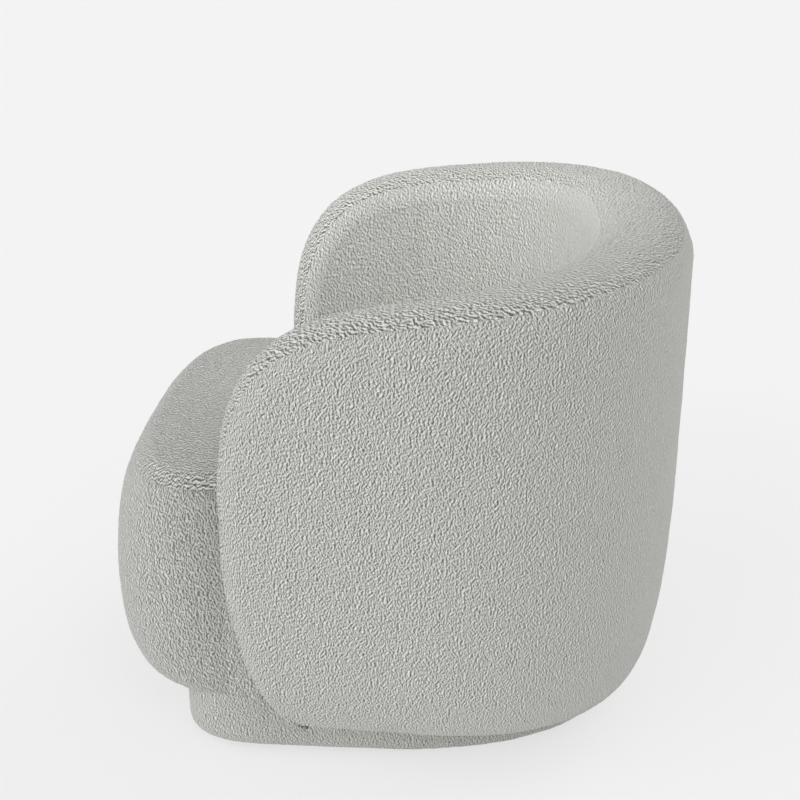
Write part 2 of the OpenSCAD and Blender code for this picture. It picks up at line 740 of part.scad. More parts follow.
function rim_cover_grid(inset) = both_sides([for (k = [0:station_count - 1]) rim_cover_column(k, inset)]);
module rim_cover() {
    color(CLOTH) sheet(rim_cover_grid(cover_t), rim_cover_grid(0));
}

// Padding and boards of the wall
function outer_grid(e, inset, dropped) = both_sides([for (k = [rim_first:station_count - 1])
    outer_column(k, e, inset, dropped)]);
function inner_grid(e, inset) = both_sides([for (k = [inner_first:station_count - 1])
    inner_column(k, e, inset)]);
module outer_wadding() {
    color(WADDING) sheet(
        outer_grid(strip_set, foam_set, 1),
        outer_grid(strip_set, foam_set + wadding_t, 1),
        true
    );
}
module outer_board() {
    color(BOARD) sheet(
        outer_grid(frame_set, board_set, 2),
        outer_grid(frame_set, board_set + board_t, 2),
        true
    );
}
module inner_foam() {
    color(FOAM) sheet(inner_grid(strip_set, foam_set + inner_foam_t), inner_grid(strip_set, foam_set));
}
module inner_board() {
    color(BOARD) sheet(
        inner_grid(frame_set, inner_board_set + board_t),
        inner_grid(frame_set, inner_board_set)
    );
}

// Seat outline: a round front ahead of the arms, then close along the shell's inner face
seat_half = in_plan(0, inner_face(0)).x - seat_ease;
seat_side_y = widest_y - arm_reach;
front_angles = [0, 10, 20, 30, 42, 54, 66, 78];
seat_runs = concat([seat_meet_run], arm_runs, back_runs);
function front_point(a, half, depth) = [
    half * pow(sin(a), 2 / seat_plan_power),
    seat_side_y - depth * pow(cos(a), 2 / seat_plan_power)
];
function front_arc(side_set, front_set) =
    [for (a = arc_angles) front_point(a, seat_half - side_set, seat_front_depth - front_set)];
function closed(half) = concat(half, [for (k = [len(half) - 2:-1:1]) [-half[k].x, half[k].y]]);
function seat_outline(side_set, front_set, wall_set) = closed(concat(
    front_arc(side_set, front_set),
    [for (r = seat_runs) in_plan(r, inner_face(r) + wall_set)]
));

// Profile of the seat's front border
function border_inset(z) = z > seat_bulge_h
    ? seat_top_round * drop((z - seat_bulge_h) / (seat_edge_h - seat_bulge_h), seat_top_power)
    : seat_foot_round * drop((seat_bulge_h - z) / (seat_bulge_h - seat_base_h), seat_foot_power);
function border_rise(share) = pow(1 - pow(1 - clip(share), seat_top_power), 1 / seat_top_power);
function border_h(inset) = mix(seat_bulge_h, seat_edge_h, border_rise(inset / seat_top_round));
function border_point(a, z, set) =
    let (shift = z > seat_bulge_h
        ? -set * (z - seat_bulge_h) / (seat_edge_h - seat_bulge_h)
        : set * (seat_bulge_h - z) / (seat_bulge_h - seat_base_h))
    let (p = front_point(a, seat_half - set, seat_front_depth - border_inset(z) - set))
    [p.x, p.y, z + shift];
border_top = seat_seam_h - layer_gap;
arc_angles = concat(front_angles, [90]);
border_angles = concat([for (k = [len(arc_angles) - 1:-1:1]) -arc_angles[k]], arc_angles);
foot_shares = [1, 0.94, 0.82, 0.6, 0.3];
top_shares = [0, 0.3, 0.58, 0.82, 1];
border_levels = concat(
    [for (share = flip(top_shares)) mix(seat_bulge_h, border_top, share)],
    [for (share = flip(foot_shares)) mix(seat_bulge_h, seat_base_h, share)]
);
function border_side(a, z, set) = let (p = border_point(abs(a), z, set)) [sign(a) * p.x, p.y, p.z];
function tail_point(s, z, set) =
    let (p = in_plan(seat_meet_run, inner_face(seat_meet_run) + layer_gap + set))
    [s * p.x, p.y, border_point(90, z, set).z];
function border_column(a, set) = [for (z = border_levels) border_side(a, z, set)];
function tail_column(s, set) = [for (z = border_levels) tail_point(s, z, set)];
function border_grid(set) = concat(
    [tail_column(-1, set)],
    [for (a = border_angles) border_column(a, set)],
    [tail_column(1, set)]
);
module seat_border_cover() {
    color(CLOTH) sheet(border_grid(0), border_grid(cover_t));
}
module seat_bottom_cover() {
    color(CLOTH) translate([0, 0, seat_base_h]) linear_extrude(cover_t) difference() {
        polygon(closed(front_arc(cover_t + layer_gap, seat_foot_round + cover_t + layer_gap)));
        polygon(plinth_outline(-layer_gap));
    }
}

// Frame of the seat: a plate and posts carry the spring frame's round front
front_side_set = side_foam_t + foam_set;
plate_side_set = front_side_set + board_t;
plate_front_set = front_board_set + board_t;
rail_outline = seat_outline(plate_side_set, plate_front_set, spring_rail_set);
rail_hole = seat_outline(
    plate_side_set + spring_rail_w,
    plate_front_set + spring_rail_w,
    spring_rail_set + spring_rail_w
);
module spring_ring_lower() {
    color(PLY) ring_plate(rail_outline, rail_hole, seat_ring_top, ply_t);
}
module spring_ring_upper() {
    color(PLY) ring_plate(rail_outline, rail_hole, seat_ring_top + ply_t, ply_t);
}
function front_plan(side_set, front_set) = closed(front_arc(side_set, front_set));
module seat_front_plate() {
    back_y = plinth_front_y + ring_w;
    color(PLY) translate([0, 0, base_top_h]) linear_extrude(ply_t) difference() {
        polygon(front_plan(plate_side_set, plate_front_set));
        translate([-half_w, back_y]) square([overall_w, overall_d]);
    }
}
module seat_front_posts() {
    low = base_top_h + ply_t;
    color(BEECH) for (a = front_post_angles, s = [-1, 1]) {
        p = front_point(a, seat_half - plate_side_set - post_w, seat_front_depth - plate_front_set - post_w);
        translate([s * p.x - post_w / 2, p.y - post_w / 2, low])
            cube([post_w, post_w, seat_ring_top - low]);
    }
}
module seat_front_board() {
    color(BOARD) translate([0, 0, base_top_h]) linear_extrude(spring_deck_h - base_top_h) difference() {
        polygon(front_plan(front_side_set, front_board_set));
        polygon(front_plan(plate_side_set, plate_front_set));
        translate([-half_w, seat_side_y - overrun]) square([overall_w, overall_d]);
    }
}

// Springs: each wire snakes back and forth from the front rail to the back rail
wire_r = wire_d / 2;
wire_h = spring_deck_h + clip_t + wire_r + layer_gap;
spring_shares = [-2, -1, 0, 1, 2];
function crossing(points, x) = lookup(x, [for (p = points) [p.x, p.y]]);
front_rail_points = front_arc(plate_side_set + spring_rail_w / 2, plate_front_set + spring_rail_w / 2);
rail_mid = spring_rail_set + spring_rail_w / 2;
back_rail_points = flip([for (r = seat_runs) in_plan(r, inner_face(r) + rail_mid)]);
function spring_front(x) = crossing(front_rail_points, abs(x));
function spring_back(x) = crossing(back_rail_points, abs(x));
function spring_turns(x) = floor((spring_back(x) - spring_front(x)) / spring_step);
function whole(v) = round(v / layer_gap) * layer_gap;
function spring_start(x) = whole((spring_front(x) + spring_back(x) - spring_turns(x) * spring_step) / 2);
function spring_end(x) = spring_start(x) + spring_turns(x) * spring_step;
module wire(length) {
    rotate([0, 90, 0]) cylinder(r = wire_r, h = length, center = true, $fn = 16);
}
module wire_bend(bend_r) {
    rotate([0, 0, -90]) rotate_extrude(angle = 180, $fn = 24)
        translate([bend_r, 0]) circle(r = wire_r, $fn = 16);
}
module spring_run(x, k) {
    straight = spring_w - spring_step - wire_d;
    s = k % 2 == 0 ? 1 : -1;
    translate([x, spring_start(x) + k * spring_step, wire_h]) wire(straight);
    if (k < spring_turns(x)) {
        translate([x + s * straight / 2, spring_start(x) + (k + 0.5) * spring_step, wire_h])
            mirror([s > 0 ? 0 : 1, 0, 0]) wire_bend(spring_step / 2);
    }
}
module spring(x) {
    turns = spring_turns(x);
    for (first = [0:runs_fused:turns]) union() {
        for (k = [first:min(first + runs_fused - 1, turns)]) spring_run(x, k);
    }
}
module springs() {
    color(STEEL) for (k = spring_shares) spring(k * spring_pitch);
}
clip_hole_r = wire_r + layer_gap;
module spring_clip() {
    outer_r = clip_hole_r + clip_t;
    rotate([90, 0, 90]) linear_extrude(clip_w, center = true) difference() {
        union() {
            circle(r = outer_r, $fn = 32);
            translate([-clip_l / 2, -outer_r]) square([clip_l, clip_t]);
        }
        circle(r = clip_hole_r, $fn = 32);
    }
}
module spring_clips() {
    color(STEEL) for (k = spring_shares) {
        x = k * spring_pitch;
        for (y = [spring_start(x), spring_end(x)]) translate([x, y, wire_h]) spring_clip();
    }
}
tie_h = wire_h + wire_r + tie_d / 2 + layer_gap;
module spring_ties() {
    long = (spring_shares[4] - spring_shares[0]) * spring_pitch + spring_w;
    color(BLACK) for (share = tie_shares) {
        translate([0, mix(spring_front(0), spring_back(0), share), tie_h])
            rotate([0, 90, 0]) cylinder(d = tie_d, h = long, center = true, $fn = 16);
    }
}
cloth_h = max(tie_h + tie_d / 2, wire_h + clip_hole_r + clip_t) + layer_gap;
module spring_cloth() {
    color(BLACK) plate(seat_outline(plate_side_set, plate_front_set, spring_rail_set), cloth_h, lining_t);
}

// Foam, topper and cover of the seat share one domed surface
seat_foam_low = cloth_h + lining_t + layer_gap;
seam_inset = border_inset(seat_seam_h);
function seat_loop(t, side_set, drop_set) =
    let (front_inset = mix(seam_inset, seat_top_round, t))
    let (front_z = border_h(front_inset))
    let (wall_z = seat_edge_h - seat_edge_dip * pow(1 - t, 2))
    let (across = seat_edge_run * t + side_set)
    let (front = [for (a = arc_angles)
        let (p = front_point(a, seat_half - across, seat_front_depth - front_inset - side_set))
        [p.x, p.y, mix(wall_z, front_z, pow(cos(a), 2 / seat_plan_power)) - drop_set]])
    let (wall = [for (r = seat_runs) at(r, wall_z - drop_set, inner_face(r) + layer_gap + across)])
    closed3(concat(front, wall));
function closed3(half) = concat(half, [for (k = [len(half) - 2:-1:1]) mirrored(half[k])]);
seat_mid_y = (seat_side_y - seat_front_depth + in_plan(half_run, inner_face(half_run)).y) / 2;
function drawn_loop(share, side_set, drop_set) =
    let (ring = seat_loop(1, side_set, drop_set))
    [for (p = ring) [
        p.x * share,
        mix(seat_mid_y, p.y, share),
        p.z + seat_crown * (1 - share * share)
    ]];
surface_steps = [0, 0.3, 0.65, 1];
function seat_surface(side_set, drop_set) = concat(
    [for (t = surface_steps) seat_loop(t, side_set, drop_set)],
    [drawn_loop(crown_share, side_set, drop_set)]
);
module seat_dome(side_set, top_set, under_side_set, under_set) {
    cap(
        concat(flip(seat_surface(under_side_set, under_set)), seat_surface(side_set, top_set)),
        [0, seat_mid_y, seat_h - top_set],
        [0, seat_mid_y, seat_h - under_set]
    );
}
module seat_top_cover() {
    color(CLOTH) seat_dome(0, 0, cover_t, cover_t);
}
module seat_topper() {
    color(WADDING) seat_dome(foam_set, foam_set, foam_set, foam_set + topper_t);
}
function on_column(column, z) = [
    lookup(z, [for (p = column) [p.z, p.x]]),
    lookup(z, [for (p = column) [p.z, p.y]]),
    z
];
function foam_side(a, z) = on_column(border_column(a, foam_set), z);
function foam_loop(z) =
    let (front = [for (a = arc_angles) foam_side(a, z)])
    let (wall = [for (r = seat_runs) at(r, z, inner_face(r) + layer_gap + foam_set)])
    closed3(concat(front, wall));
module seat_foam() {
    top_set = foam_set + topper_t + layer_gap;
    knee_h = border_levels[2];
    levels = [seat_foam_low, knee_h, mix(knee_h, border_levels[0] - top_set, foam_level_share)];
    color(FOAM) cap(
        concat([for (z = levels) foam_loop(z)], seat_surface(foam_set, top_set)),
        [0, seat_mid_y, seat_h - top_set],
        [0, seat_mid_y, seat_foam_low]
    );
}
foam_levels = concat(
    [seat_foam_low - layer_gap],
    [for (k = [3:len(border_levels) - 3]) border_levels[k]],
    [base_top_h + layer_gap]
);
function foam_outer(a) = [for (z = foam_levels) foam_side(a, z)];
function foam_inner(a) =
    let (half = seat_half - front_side_set + layer_gap, depth = seat_front_depth - front_board_set + layer_gap)
    let (p = front_point(abs(a), half, depth))
    [for (z = foam_levels) [sign(a) * p.x, p.y, z]];
module seat_border_foam() {
    color(FOAM) sheet([for (a = border_angles) foam_outer(a)], [for (a = border_angles) foam_inner(a)]);
}

plinth_bottom_ring();
plinth_top_ring();
plinth_posts();
plinth_board();
plinth_wadding();
plinth_cover();
dust_cover();
foot_blocks();
glides();
foot_screws();
base_ring();
frame_bolts();
bolt_washers();
frame_nuts();
seat_ring();
spring_ring_lower();
spring_ring_upper();
seat_front_plate();
seat_front_posts();
seat_front_board();
centre_rib();
for (side = SIDES) {
    arm_front_former(side);
    for (k = [1:RIB_COUNT])
        side_rib(side, rib_runs[k - 1]);
}
rim_strip();
outer_board();
inner_board();
outer_wadding();
inner_foam();
rim_foam();
springs();
spring_clips();
spring_ties();
spring_cloth();
seat_foam();
seat_topper();
seat_border_foam();
outer_cover();
rim_cover();
inner_cover();
seat_border_cover();
seat_bottom_cover();
seat_top_cover();
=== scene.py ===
"""Tub chair: a round upholstered shell, a fixed seat block and a plinth, all in one pale looped cloth."""

import json
import math

import bmesh
import bpy
import numpy as np
from bpy.props import FloatProperty, PointerProperty, StringProperty
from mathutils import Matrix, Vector, noise


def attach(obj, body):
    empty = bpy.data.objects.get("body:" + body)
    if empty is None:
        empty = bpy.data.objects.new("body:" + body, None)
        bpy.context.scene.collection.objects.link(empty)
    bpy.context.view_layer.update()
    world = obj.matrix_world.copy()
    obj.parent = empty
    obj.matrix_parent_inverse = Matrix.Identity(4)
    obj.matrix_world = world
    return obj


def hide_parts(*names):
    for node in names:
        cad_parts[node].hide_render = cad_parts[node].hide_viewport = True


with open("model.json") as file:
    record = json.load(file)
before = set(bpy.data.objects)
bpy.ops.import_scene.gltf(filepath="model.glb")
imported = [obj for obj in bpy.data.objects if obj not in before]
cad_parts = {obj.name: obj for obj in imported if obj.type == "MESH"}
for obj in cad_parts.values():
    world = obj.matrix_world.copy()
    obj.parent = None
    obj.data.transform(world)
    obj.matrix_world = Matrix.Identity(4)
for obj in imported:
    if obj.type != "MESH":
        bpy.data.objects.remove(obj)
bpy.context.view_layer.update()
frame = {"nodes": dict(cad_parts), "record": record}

bl_info = {
    "name": "Tub Chair",
    "version": (1, 0, 0),
    "blender": (4, 5, 0),
    "location": "3D View > Sidebar > Tub Chair",
    "description": "Upholsters the tub chair and sets up its studio",
    "category": "Object",
}

MM = 0.001

# The chair's outlines in millimetres, the same values as the frame's
HALF_W = 428.028
HALF_D = 403.0
OVERALL_H = 720.0
BACK_REACH = 388.0
ARM_REACH = 232.0
ARM_TOE_IN = 22.0
PLAN_POWER = 2.35
WIDEST_Y = HALF_D - BACK_REACH
ARM_H = 644.0
RIM_RISE_POWER = 0.66
NOSE_H = 336.0
NOSE_TOP_RUN = 300.0
NOSE_TOP_POWER = 3.7
NOSE_FOOT_RUN = 110.0
NOSE_FOOT_POWER = 1.7
SHELL_BASE_H = 69.0
ARM_WALL = 104.0
BACK_WALL = 140.0
RIM_CORNER = 46.0
RIM_CROWN = 5.0
SIDE_LEAN = 0.053
BACK_LEAN = 0.01
ARM_TUCK = 84.0
ARM_TUCK_H = 217.0
ARM_TUCK_POWER = 2.2
BACK_TUCK = 49.0
BACK_TUCK_H = 400.0
BACK_TUCK_POWER = 2.5
INNER_TUCK = 14.0
SEAT_H = 427.0
SEAT_SEAM_H = 401.0
SEAT_BULGE_H = 230.0
SEAT_BASE_H = 97.0
SEAT_FRONT_DEPTH = 186.0
SEAT_PLAN_POWER = 3.1
SEAT_TOP_ROUND = 66.0
SEAT_TOP_POWER = 1.93
SEAT_FOOT_ROUND = 70.0
SEAT_FOOT_POWER = 2.8
SEAT_EDGE_DIP = 20.0
SEAT_EDGE_RUN = 24.0
SEAT_CROWN = 6.0
SEAT_EASE = 5.0
SEAT_EDGE_H = SEAT_H - SEAT_CROWN
PLINTH_HALF_W = 300.0
PLINTH_FRONT_Y = -HALF_D + 110.0
PLINTH_FRONT_DEPTH = 263.0
PLINTH_FRONT_POWER = 7.0
PLINTH_BACK_SET = 62.0
PLINTH_EDGE = 26.0
PLINTH_CLEAR = 9.0
PLINTH_TOP_H = 96.7

# A seam lies half way over the rim's rounded edge
SEAM_TURN = math.radians(45)
# Width and height of the loops that stand out of a panel, in millimetres
FINE_PILE = (7.0, 0.6)
COARSE_PILE = (8.0, 0.8)
# The cloth simulation's air pressure, steps and quality
FILL_PRESSURE = 4.0
FILL_FRAMES = 20
FILL_QUALITY = 5
# The outer panel and the seat's border start to swell above this height
FREE_H = 100.0
# A wall seam draws the cloth down in full from this far along the rim
SEAM_START = 40.0


def drop(u, power):
    """Quarter superellipse: 0 at the start of a bend, 1 at its end."""
    return 1 - (1 - np.clip(u, 0, 1) ** power) ** (1 / power)


def mix(a, b, t):
    return a + (b - a) * t


def ramp(value, start, end):
    """0 up to the start, 1 from the end on, and even between them."""
    return np.clip((value - start) / (end - start), 0, 1)


def arm_x(y):
    """The arm's outer side, which toes in towards its front."""
    return HALF_W - ARM_TOE_IN * (y / ARM_REACH) ** 2


def outline_table():
    """The shell's outer outline, right half, as runs with their places in plan."""
    y = np.linspace(-ARM_REACH, 0, 400)[:-1]
    th = np.radians(np.linspace(90, 0, 900))
    bend = np.stack([
        HALF_W * np.sin(th) ** (2 / PLAN_POWER),
        BACK_REACH * np.clip(np.cos(th), 0, 1) ** (2 / PLAN_POWER),
    ])
    points = np.concatenate([np.stack([arm_x(y), y]), bend], axis=1)
    steps = np.hypot(*np.diff(points, axis=1))
    return np.concatenate([[0], np.cumsum(steps)]), points


RUNS, OUTLINE = outline_table()
HALF_RUN = RUNS[-1]


def plan_at(run):
    return np.interp(run, RUNS, OUTLINE[0]), np.interp(run, RUNS, OUTLINE[1])


def plan_normal(run):
    """The direction out of the outline in plan."""
    x, y = plan_at(run)
    slope_x = np.where(y < 0, 1.0, (np.clip(x, 0, None) / HALF_W) ** (PLAN_POWER - 1) / HALF_W)
    slope_y = np.where(
        y < 0,
        2 * ARM_TOE_IN * y / ARM_REACH ** 2,
        (np.clip(y, 0, None) / BACK_REACH) ** (PLAN_POWER - 1) / BACK_REACH,
    )
    length = np.hypot(slope_x, slope_y)
    return slope_x / length, slope_y / length


def backness(run):
    """0 along the arms and 1 in the middle of the back."""
    return np.clip(plan_at(run)[1] / BACK_REACH, 0, 1)


def rim_h(run):
    rise = np.clip((plan_at(run)[1] + ARM_REACH) / (BACK_REACH + ARM_REACH), 0, 1)
    return mix(ARM_H, OVERALL_H, rise ** RIM_RISE_POWER)


def arm_draw(z):
    return drop((ARM_TUCK_H - z) / (ARM_TUCK_H - SHELL_BASE_H), ARM_TUCK_POWER)


def back_draw(z):
    return drop((BACK_TUCK_H - z) / (BACK_TUCK_H - SHELL_BASE_H), BACK_TUCK_POWER)


def lean(run):
    return mix(SIDE_LEAN, BACK_LEAN, backness(run))


def outer_depth(run, z):
    """How far the wall's outer face lies inside the outline."""
    drawn = mix(ARM_TUCK * arm_draw(z), BACK_TUCK * back_draw(z), backness(run) ** 1.5)
    return lean(run) * np.maximum(0, OVERALL_H - z) + drawn


def inner_face(run):
    return mix(ARM_WALL, BACK_WALL, backness(run)) + lean(run) * (OVERALL_H - rim_h(run) + RIM_CORNER)


def inner_depth(run, z):
    return inner_face(run) + INNER_TUCK * arm_draw(z) * (1 - backness(run))


def at(side, run, z, depth):
    """A place on the sheet in space: side is 1 for the right half and -1 for the left."""
    x, y = plan_at(run)
    nx, ny = plan_normal(run)
    return np.stack([side * (x - nx * depth), y - ny * depth + WIDEST_Y, z + 0 * run], axis=-1)


def rim_table():
    """The rim's outline on the sheet by its arc: arc, run, height, inward direction, corner radius."""
    foot = np.radians(np.linspace(86, 0, 300))
    nose = np.radians(np.linspace(0, 90, 500))[1:]
    run = NOSE_TOP_RUN * (1 - np.clip(np.cos(nose), 0, 1) ** (2 / NOSE_TOP_POWER))
    back = np.linspace(NOSE_TOP_RUN, HALF_RUN, 400)[1:]
    runs = np.concatenate([NOSE_FOOT_RUN * (1 - np.cos(foot) ** (2 / NOSE_FOOT_POWER)), run, back])
    heights = np.concatenate([
        NOSE_H - (NOSE_H - SHELL_BASE_H) * np.sin(foot) ** (2 / NOSE_FOOT_POWER),
        mix(NOSE_H, rim_h(run), np.sin(nose) ** (2 / NOSE_TOP_POWER)),
        rim_h(back),
    ])
    radii = np.concatenate([RIM_CORNER * np.cos(foot), np.full(len(nose) + len(back), RIM_CORNER)])
    arcs = np.concatenate([[0], np.cumsum(np.hypot(np.diff(runs), np.diff(heights)))])
    even = np.linspace(0, arcs[-1], 1600)
    runs, heights, radii = (np.interp(even, arcs, values) for values in (runs, heights, radii))
    along_run, along_h = np.gradient(runs, even), np.gradient(heights, even)
    along_h[-1] = 0
    length = np.hypot(along_run, along_h)
    return even, runs, heights, along_h / length, -along_run / length, radii


ARCS, RIM_RUNS, RIM_HEIGHTS, IN_RUN, IN_H, RIM_RADII = rim_table()
RIM_LENGTH = ARCS[-1]
# The nose stands out furthest at the first arc, and the rim's curve over the arm ends at the second
NOSE_ARC = float(np.interp(NOSE_H, RIM_HEIGHTS[:400], ARCS[:400]))
NOSE_TOP_ARC = float(np.interp(NOSE_TOP_RUN, RIM_RUNS[200:], ARCS[200:]))


def rim_value(arc, values):
    return np.interp(arc, ARCS, values)


def inset_place(arc, e):
    """Run and height of a place that lies e inside the rim's outline."""
    run = rim_value(arc, RIM_RUNS) + rim_value(arc, IN_RUN) * e
    height = rim_value(arc, RIM_HEIGHTS) + rim_value(arc, IN_H) * e
    return np.minimum(run, HALF_RUN), height


def half_wall(arc):
    run, z = inset_place(arc, RIM_CORNER / 2)
    return (inner_depth(run, z) - outer_depth(run, z)) / 2


def corner_radius(arc):
    return np.maximum(np.minimum(rim_value(arc, RIM_RADII), half_wall(arc) * 0.9), 1.5)


def rim_section(side, arc, across, e, behind=0.0):
    """A place in the wall's thickness: across is measured from its middle, positive to the inside."""
    run, z = inset_place(arc, e)
    run = run + behind
    middle = (inner_depth(run, z) + outer_depth(run, z)) / 2
    return at(side, run, z, middle + across)


def rim_corner_point(side, arc, face, angle, inset=0.0):
    """The rounded edge of the rim: face -1 is the outer edge, 1 the inner, angle 0 the face."""
    half = half_wall(arc)
    radius = corner_radius(arc) - inset
    across = face * (half - inset - radius * (1 - np.cos(angle)))
    crown = RIM_CROWN * (across / half) ** 2 * np.sin(angle)
    return rim_section(side, arc, across, inset + radius * (1 - np.sin(angle)) + crown)


def signed_power(v, power):
    return np.sign(v) * np.abs(v) ** power


def even_angles(power):
    """Angles from 0 to 90 degrees whose places on a superellipse of this power lie close together."""
    steps = np.linspace(0, 1, 300) ** (power / 2)
    return np.unique(np.concatenate([np.arcsin(steps), np.arccos(steps)]))


def plinth_place(a, inset):
    front = np.cos(a) > 0
    middle = PLINTH_FRONT_Y + PLINTH_FRONT_DEPTH
    power = np.where(front, PLINTH_FRONT_POWER, PLAN_POWER)
    reach = np.where(front, PLINTH_FRONT_DEPTH, HALF_D - PLINTH_BACK_SET - middle) - inset
    x = (PLINTH_HALF_W - inset) * signed_power(np.sin(a), 2 / power)
    return x, middle - reach * signed_power(np.cos(a), 2 / power)


SEAT_HALF = float(
    plan_at(0)[0] - plan_normal(0)[0] * inner_face(0) - SEAT_EASE
)
SEAT_SIDE_Y = WIDEST_Y - ARM_REACH


def front_place(a, half, depth):
    x = half * np.sin(np.abs(a)) ** (2 / SEAT_PLAN_POWER) * np.sign(a)
    return x, SEAT_SIDE_Y - depth * np.clip(np.cos(a), 0, 1) ** (2 / SEAT_PLAN_POWER)


def border_inset(z):
    """How far the seat's bulging front lies behind its furthest point at a height."""
    upper = SEAT_TOP_ROUND * drop((z - SEAT_BULGE_H) / (SEAT_EDGE_H - SEAT_BULGE_H), SEAT_TOP_POWER)
    lower = SEAT_FOOT_ROUND * drop((SEAT_BULGE_H - z) / (SEAT_BULGE_H - SEAT_BASE_H), SEAT_FOOT_POWER)
    return np.where(z > SEAT_BULGE_H, upper, lower)


def border_h(inset):
    """The height over the bulge at which the seat's front has this inset."""
    share = np.clip(inset / SEAT_TOP_ROUND, 0, 1)
    rise = (1 - (1 - share) ** SEAT_TOP_POWER) ** (1 / SEAT_TOP_POWER)
    return mix(SEAT_BULGE_H, SEAT_EDGE_H, rise)


def linear(code):
    """An sRGB hex colour as linear RGBA."""
    parts = [int(code[k:k + 2], 16) / 255 for k in (1, 3, 5)]
    return [c / 12.92 if c <= 0.04045 else ((c + 0.055) / 1.055) ** 2.4 for c in parts] + [1.0]


def add(tree, kind, settings=None, inputs=None):
    """One node with its settings and its inputs, which are values or other nodes' sockets."""
    node = tree.nodes.new(kind)
    for name, value in (settings or {}).items():
        setattr(node, name, value)
    for name, value in (inputs or {}).items():
        if isinstance(value, bpy.types.NodeSocket):
            tree.links.new(value, node.inputs[name])
        else:
            node.inputs[name].default_value = value
    return node


def new_material(name):
    material = bpy.data.materials.new(name)
    material.use_nodes = True
    tree = material.node_tree
    tree.nodes.clear()
    return material, tree


def finish_material(tree, shader):
    add(tree, "ShaderNodeOutputMaterial", None, {"Surface": shader.outputs[0]})


def set_ramp(node, stops):
    ramp = node.color_ramp
    ramp.elements[0].position, ramp.elements[0].color = stops[0]
    ramp.elements[1].position, ramp.elements[1].color = stops[-1]
    for position, color in stops[1:-1]:
        ramp.elements.new(position).color = color


def loops(tree, place, loop, aside, above):
    """The pile's height at a place, or at one that lies aside and above by shares of a loop."""
    moved = add(tree, "ShaderNodeVectorMath", {"operation": "ADD"}, {
        0: place, 1: (aside * loop, above * loop, 0.0),
    })
    return add(tree, "ShaderNodeTexNoise", {"noise_dimensions": "2D"}, {
        "Vector": moved.outputs["Vector"],
        "Scale": 1 / loop,
        "Detail": 1.0,
        "Roughness": 0.4,
    })


def boucle(name, cloth, size=1.0, stretch=1.3, turn=0, relief=1.0, painted_light_contrast=1.0):
    """Looped-pile boucle: small matt loops of pale wool, with a painted highlight on one side of each loop
    and painted shade on the other.

    size and relief are shares of the cloth's own loop and relief, stretch is a loop's length over
    its width, turn is the lay of the loops in degrees, and the last argument scales the painted highlight
    and painted shade.
    """
    loop = cloth.loop * size
    material, tree = new_material(name)
    uv = add(tree, "ShaderNodeUVMap", {"uv_map": "cloth"})
    laid = add(tree, "ShaderNodeMapping", None, {
        "Vector": uv.outputs["UV"],
        "Rotation": (0, 0, math.radians(turn)),
    })
    # The loops lie longer one way than the other, and their rows wander
    wander = add(tree, "ShaderNodeTexNoise", {"noise_dimensions": "2D"}, {
        "Vector": laid.outputs["Vector"],
        "Scale": 1 / (loop * 4),
        "Detail": 2.0,
    })
    shift = add(tree, "ShaderNodeVectorMath", {"operation": "SCALE"}, {
        0: wander.outputs["Color"],
        "Scale": loop * 1.5,
    })
    moved = add(tree, "ShaderNodeVectorMath", {"operation": "ADD"}, {
        0: laid.outputs["Vector"],
        1: shift.outputs["Vector"],
    })
    drawn = add(tree, "ShaderNodeMapping", {"vector_type": "POINT"}, {
        "Vector": moved.outputs["Vector"],
        "Scale": (1.0, 1 / stretch, 1.0),
    })
    here = loops(tree, drawn.outputs["Vector"], loop, 0.0, 0.0)
    beside = loops(tree, drawn.outputs["Vector"], loop, 0.4, 0.12)
    # A loop's side that faces up the lean gets a painted highlight, and its other side painted shade, both
    # painted into the colour
    lean = add(tree, "ShaderNodeMath", {"operation": "SUBTRACT"}, {
        0: here.outputs["Fac"], 1: beside.outputs["Fac"],
    })
    side = add(tree, "ShaderNodeMath", {"operation": "MULTIPLY_ADD"}, {
        0: lean.outputs["Value"], 1: 1.5 * painted_light_contrast, 2: 0.5,
    })
    tone = add(tree, "ShaderNodeValToRGB", None, {"Fac": side.outputs["Value"]})
    # The ramp runs from painted shade through the yarn's own colour to a painted highlight
    set_ramp(tone, [
        (0.08, linear(cloth.painted_shade_colour)),
        (0.5, linear(cloth.yarn_colour)),
        (0.9, linear(cloth.painted_highlight_colour)),
    ])
    bump = add(tree, "ShaderNodeBump", None, {
        "Height": here.outputs["Fac"],
        "Strength": 1.0,
        "Distance": cloth.relief * relief,
    })
    shader = add(tree, "ShaderNodeBsdfPrincipled", None, {
        "Base Color": tone.outputs["Color"],
        "Normal": bump.outputs["Normal"],
        "Roughness": 0.95,
        "Specular IOR Level": 0.15,
        "Sheen Weight": 0.5,
        "Sheen Roughness": 0.5,
        "Sheen Tint": linear("#f4f4f0"),
    })
    finish_material(tree, shader)
    return material


def grained(name, texture, cell_mm, stops, roughness, strength, relief_mm, extra=None, squash=(1, 1, 1)):
    """A finish whose shade and relief follow one procedural texture in Object coordinates."""
    material, tree = new_material(name)
    place = add(tree, "ShaderNodeTexCoord")
    laid = add(tree, "ShaderNodeMapping", None, {"Vector": place.outputs["Object"], "Scale": squash})
    grain = add(tree, "ShaderNodeTex" + texture, None, {
        "Vector": laid.outputs["Vector"], "Scale": 1 / (cell_mm * MM), **(extra or {}),
    })
    level = grain.outputs["Fac" if texture == "Noise" else "Distance"]
    tone = add(tree, "ShaderNodeValToRGB", None, {"Fac": level})
    set_ramp(tone, stops)
    bump = add(tree, "ShaderNodeBump", None, {
        "Height": level, "Strength": strength, "Distance": relief_mm * MM,
    })
    finish_material(tree, add(tree, "ShaderNodeBsdfPrincipled", None, {
        "Base Color": tone.outputs["Color"], "Normal": bump.outputs["Normal"], "Roughness": roughness,
    }))
    return material


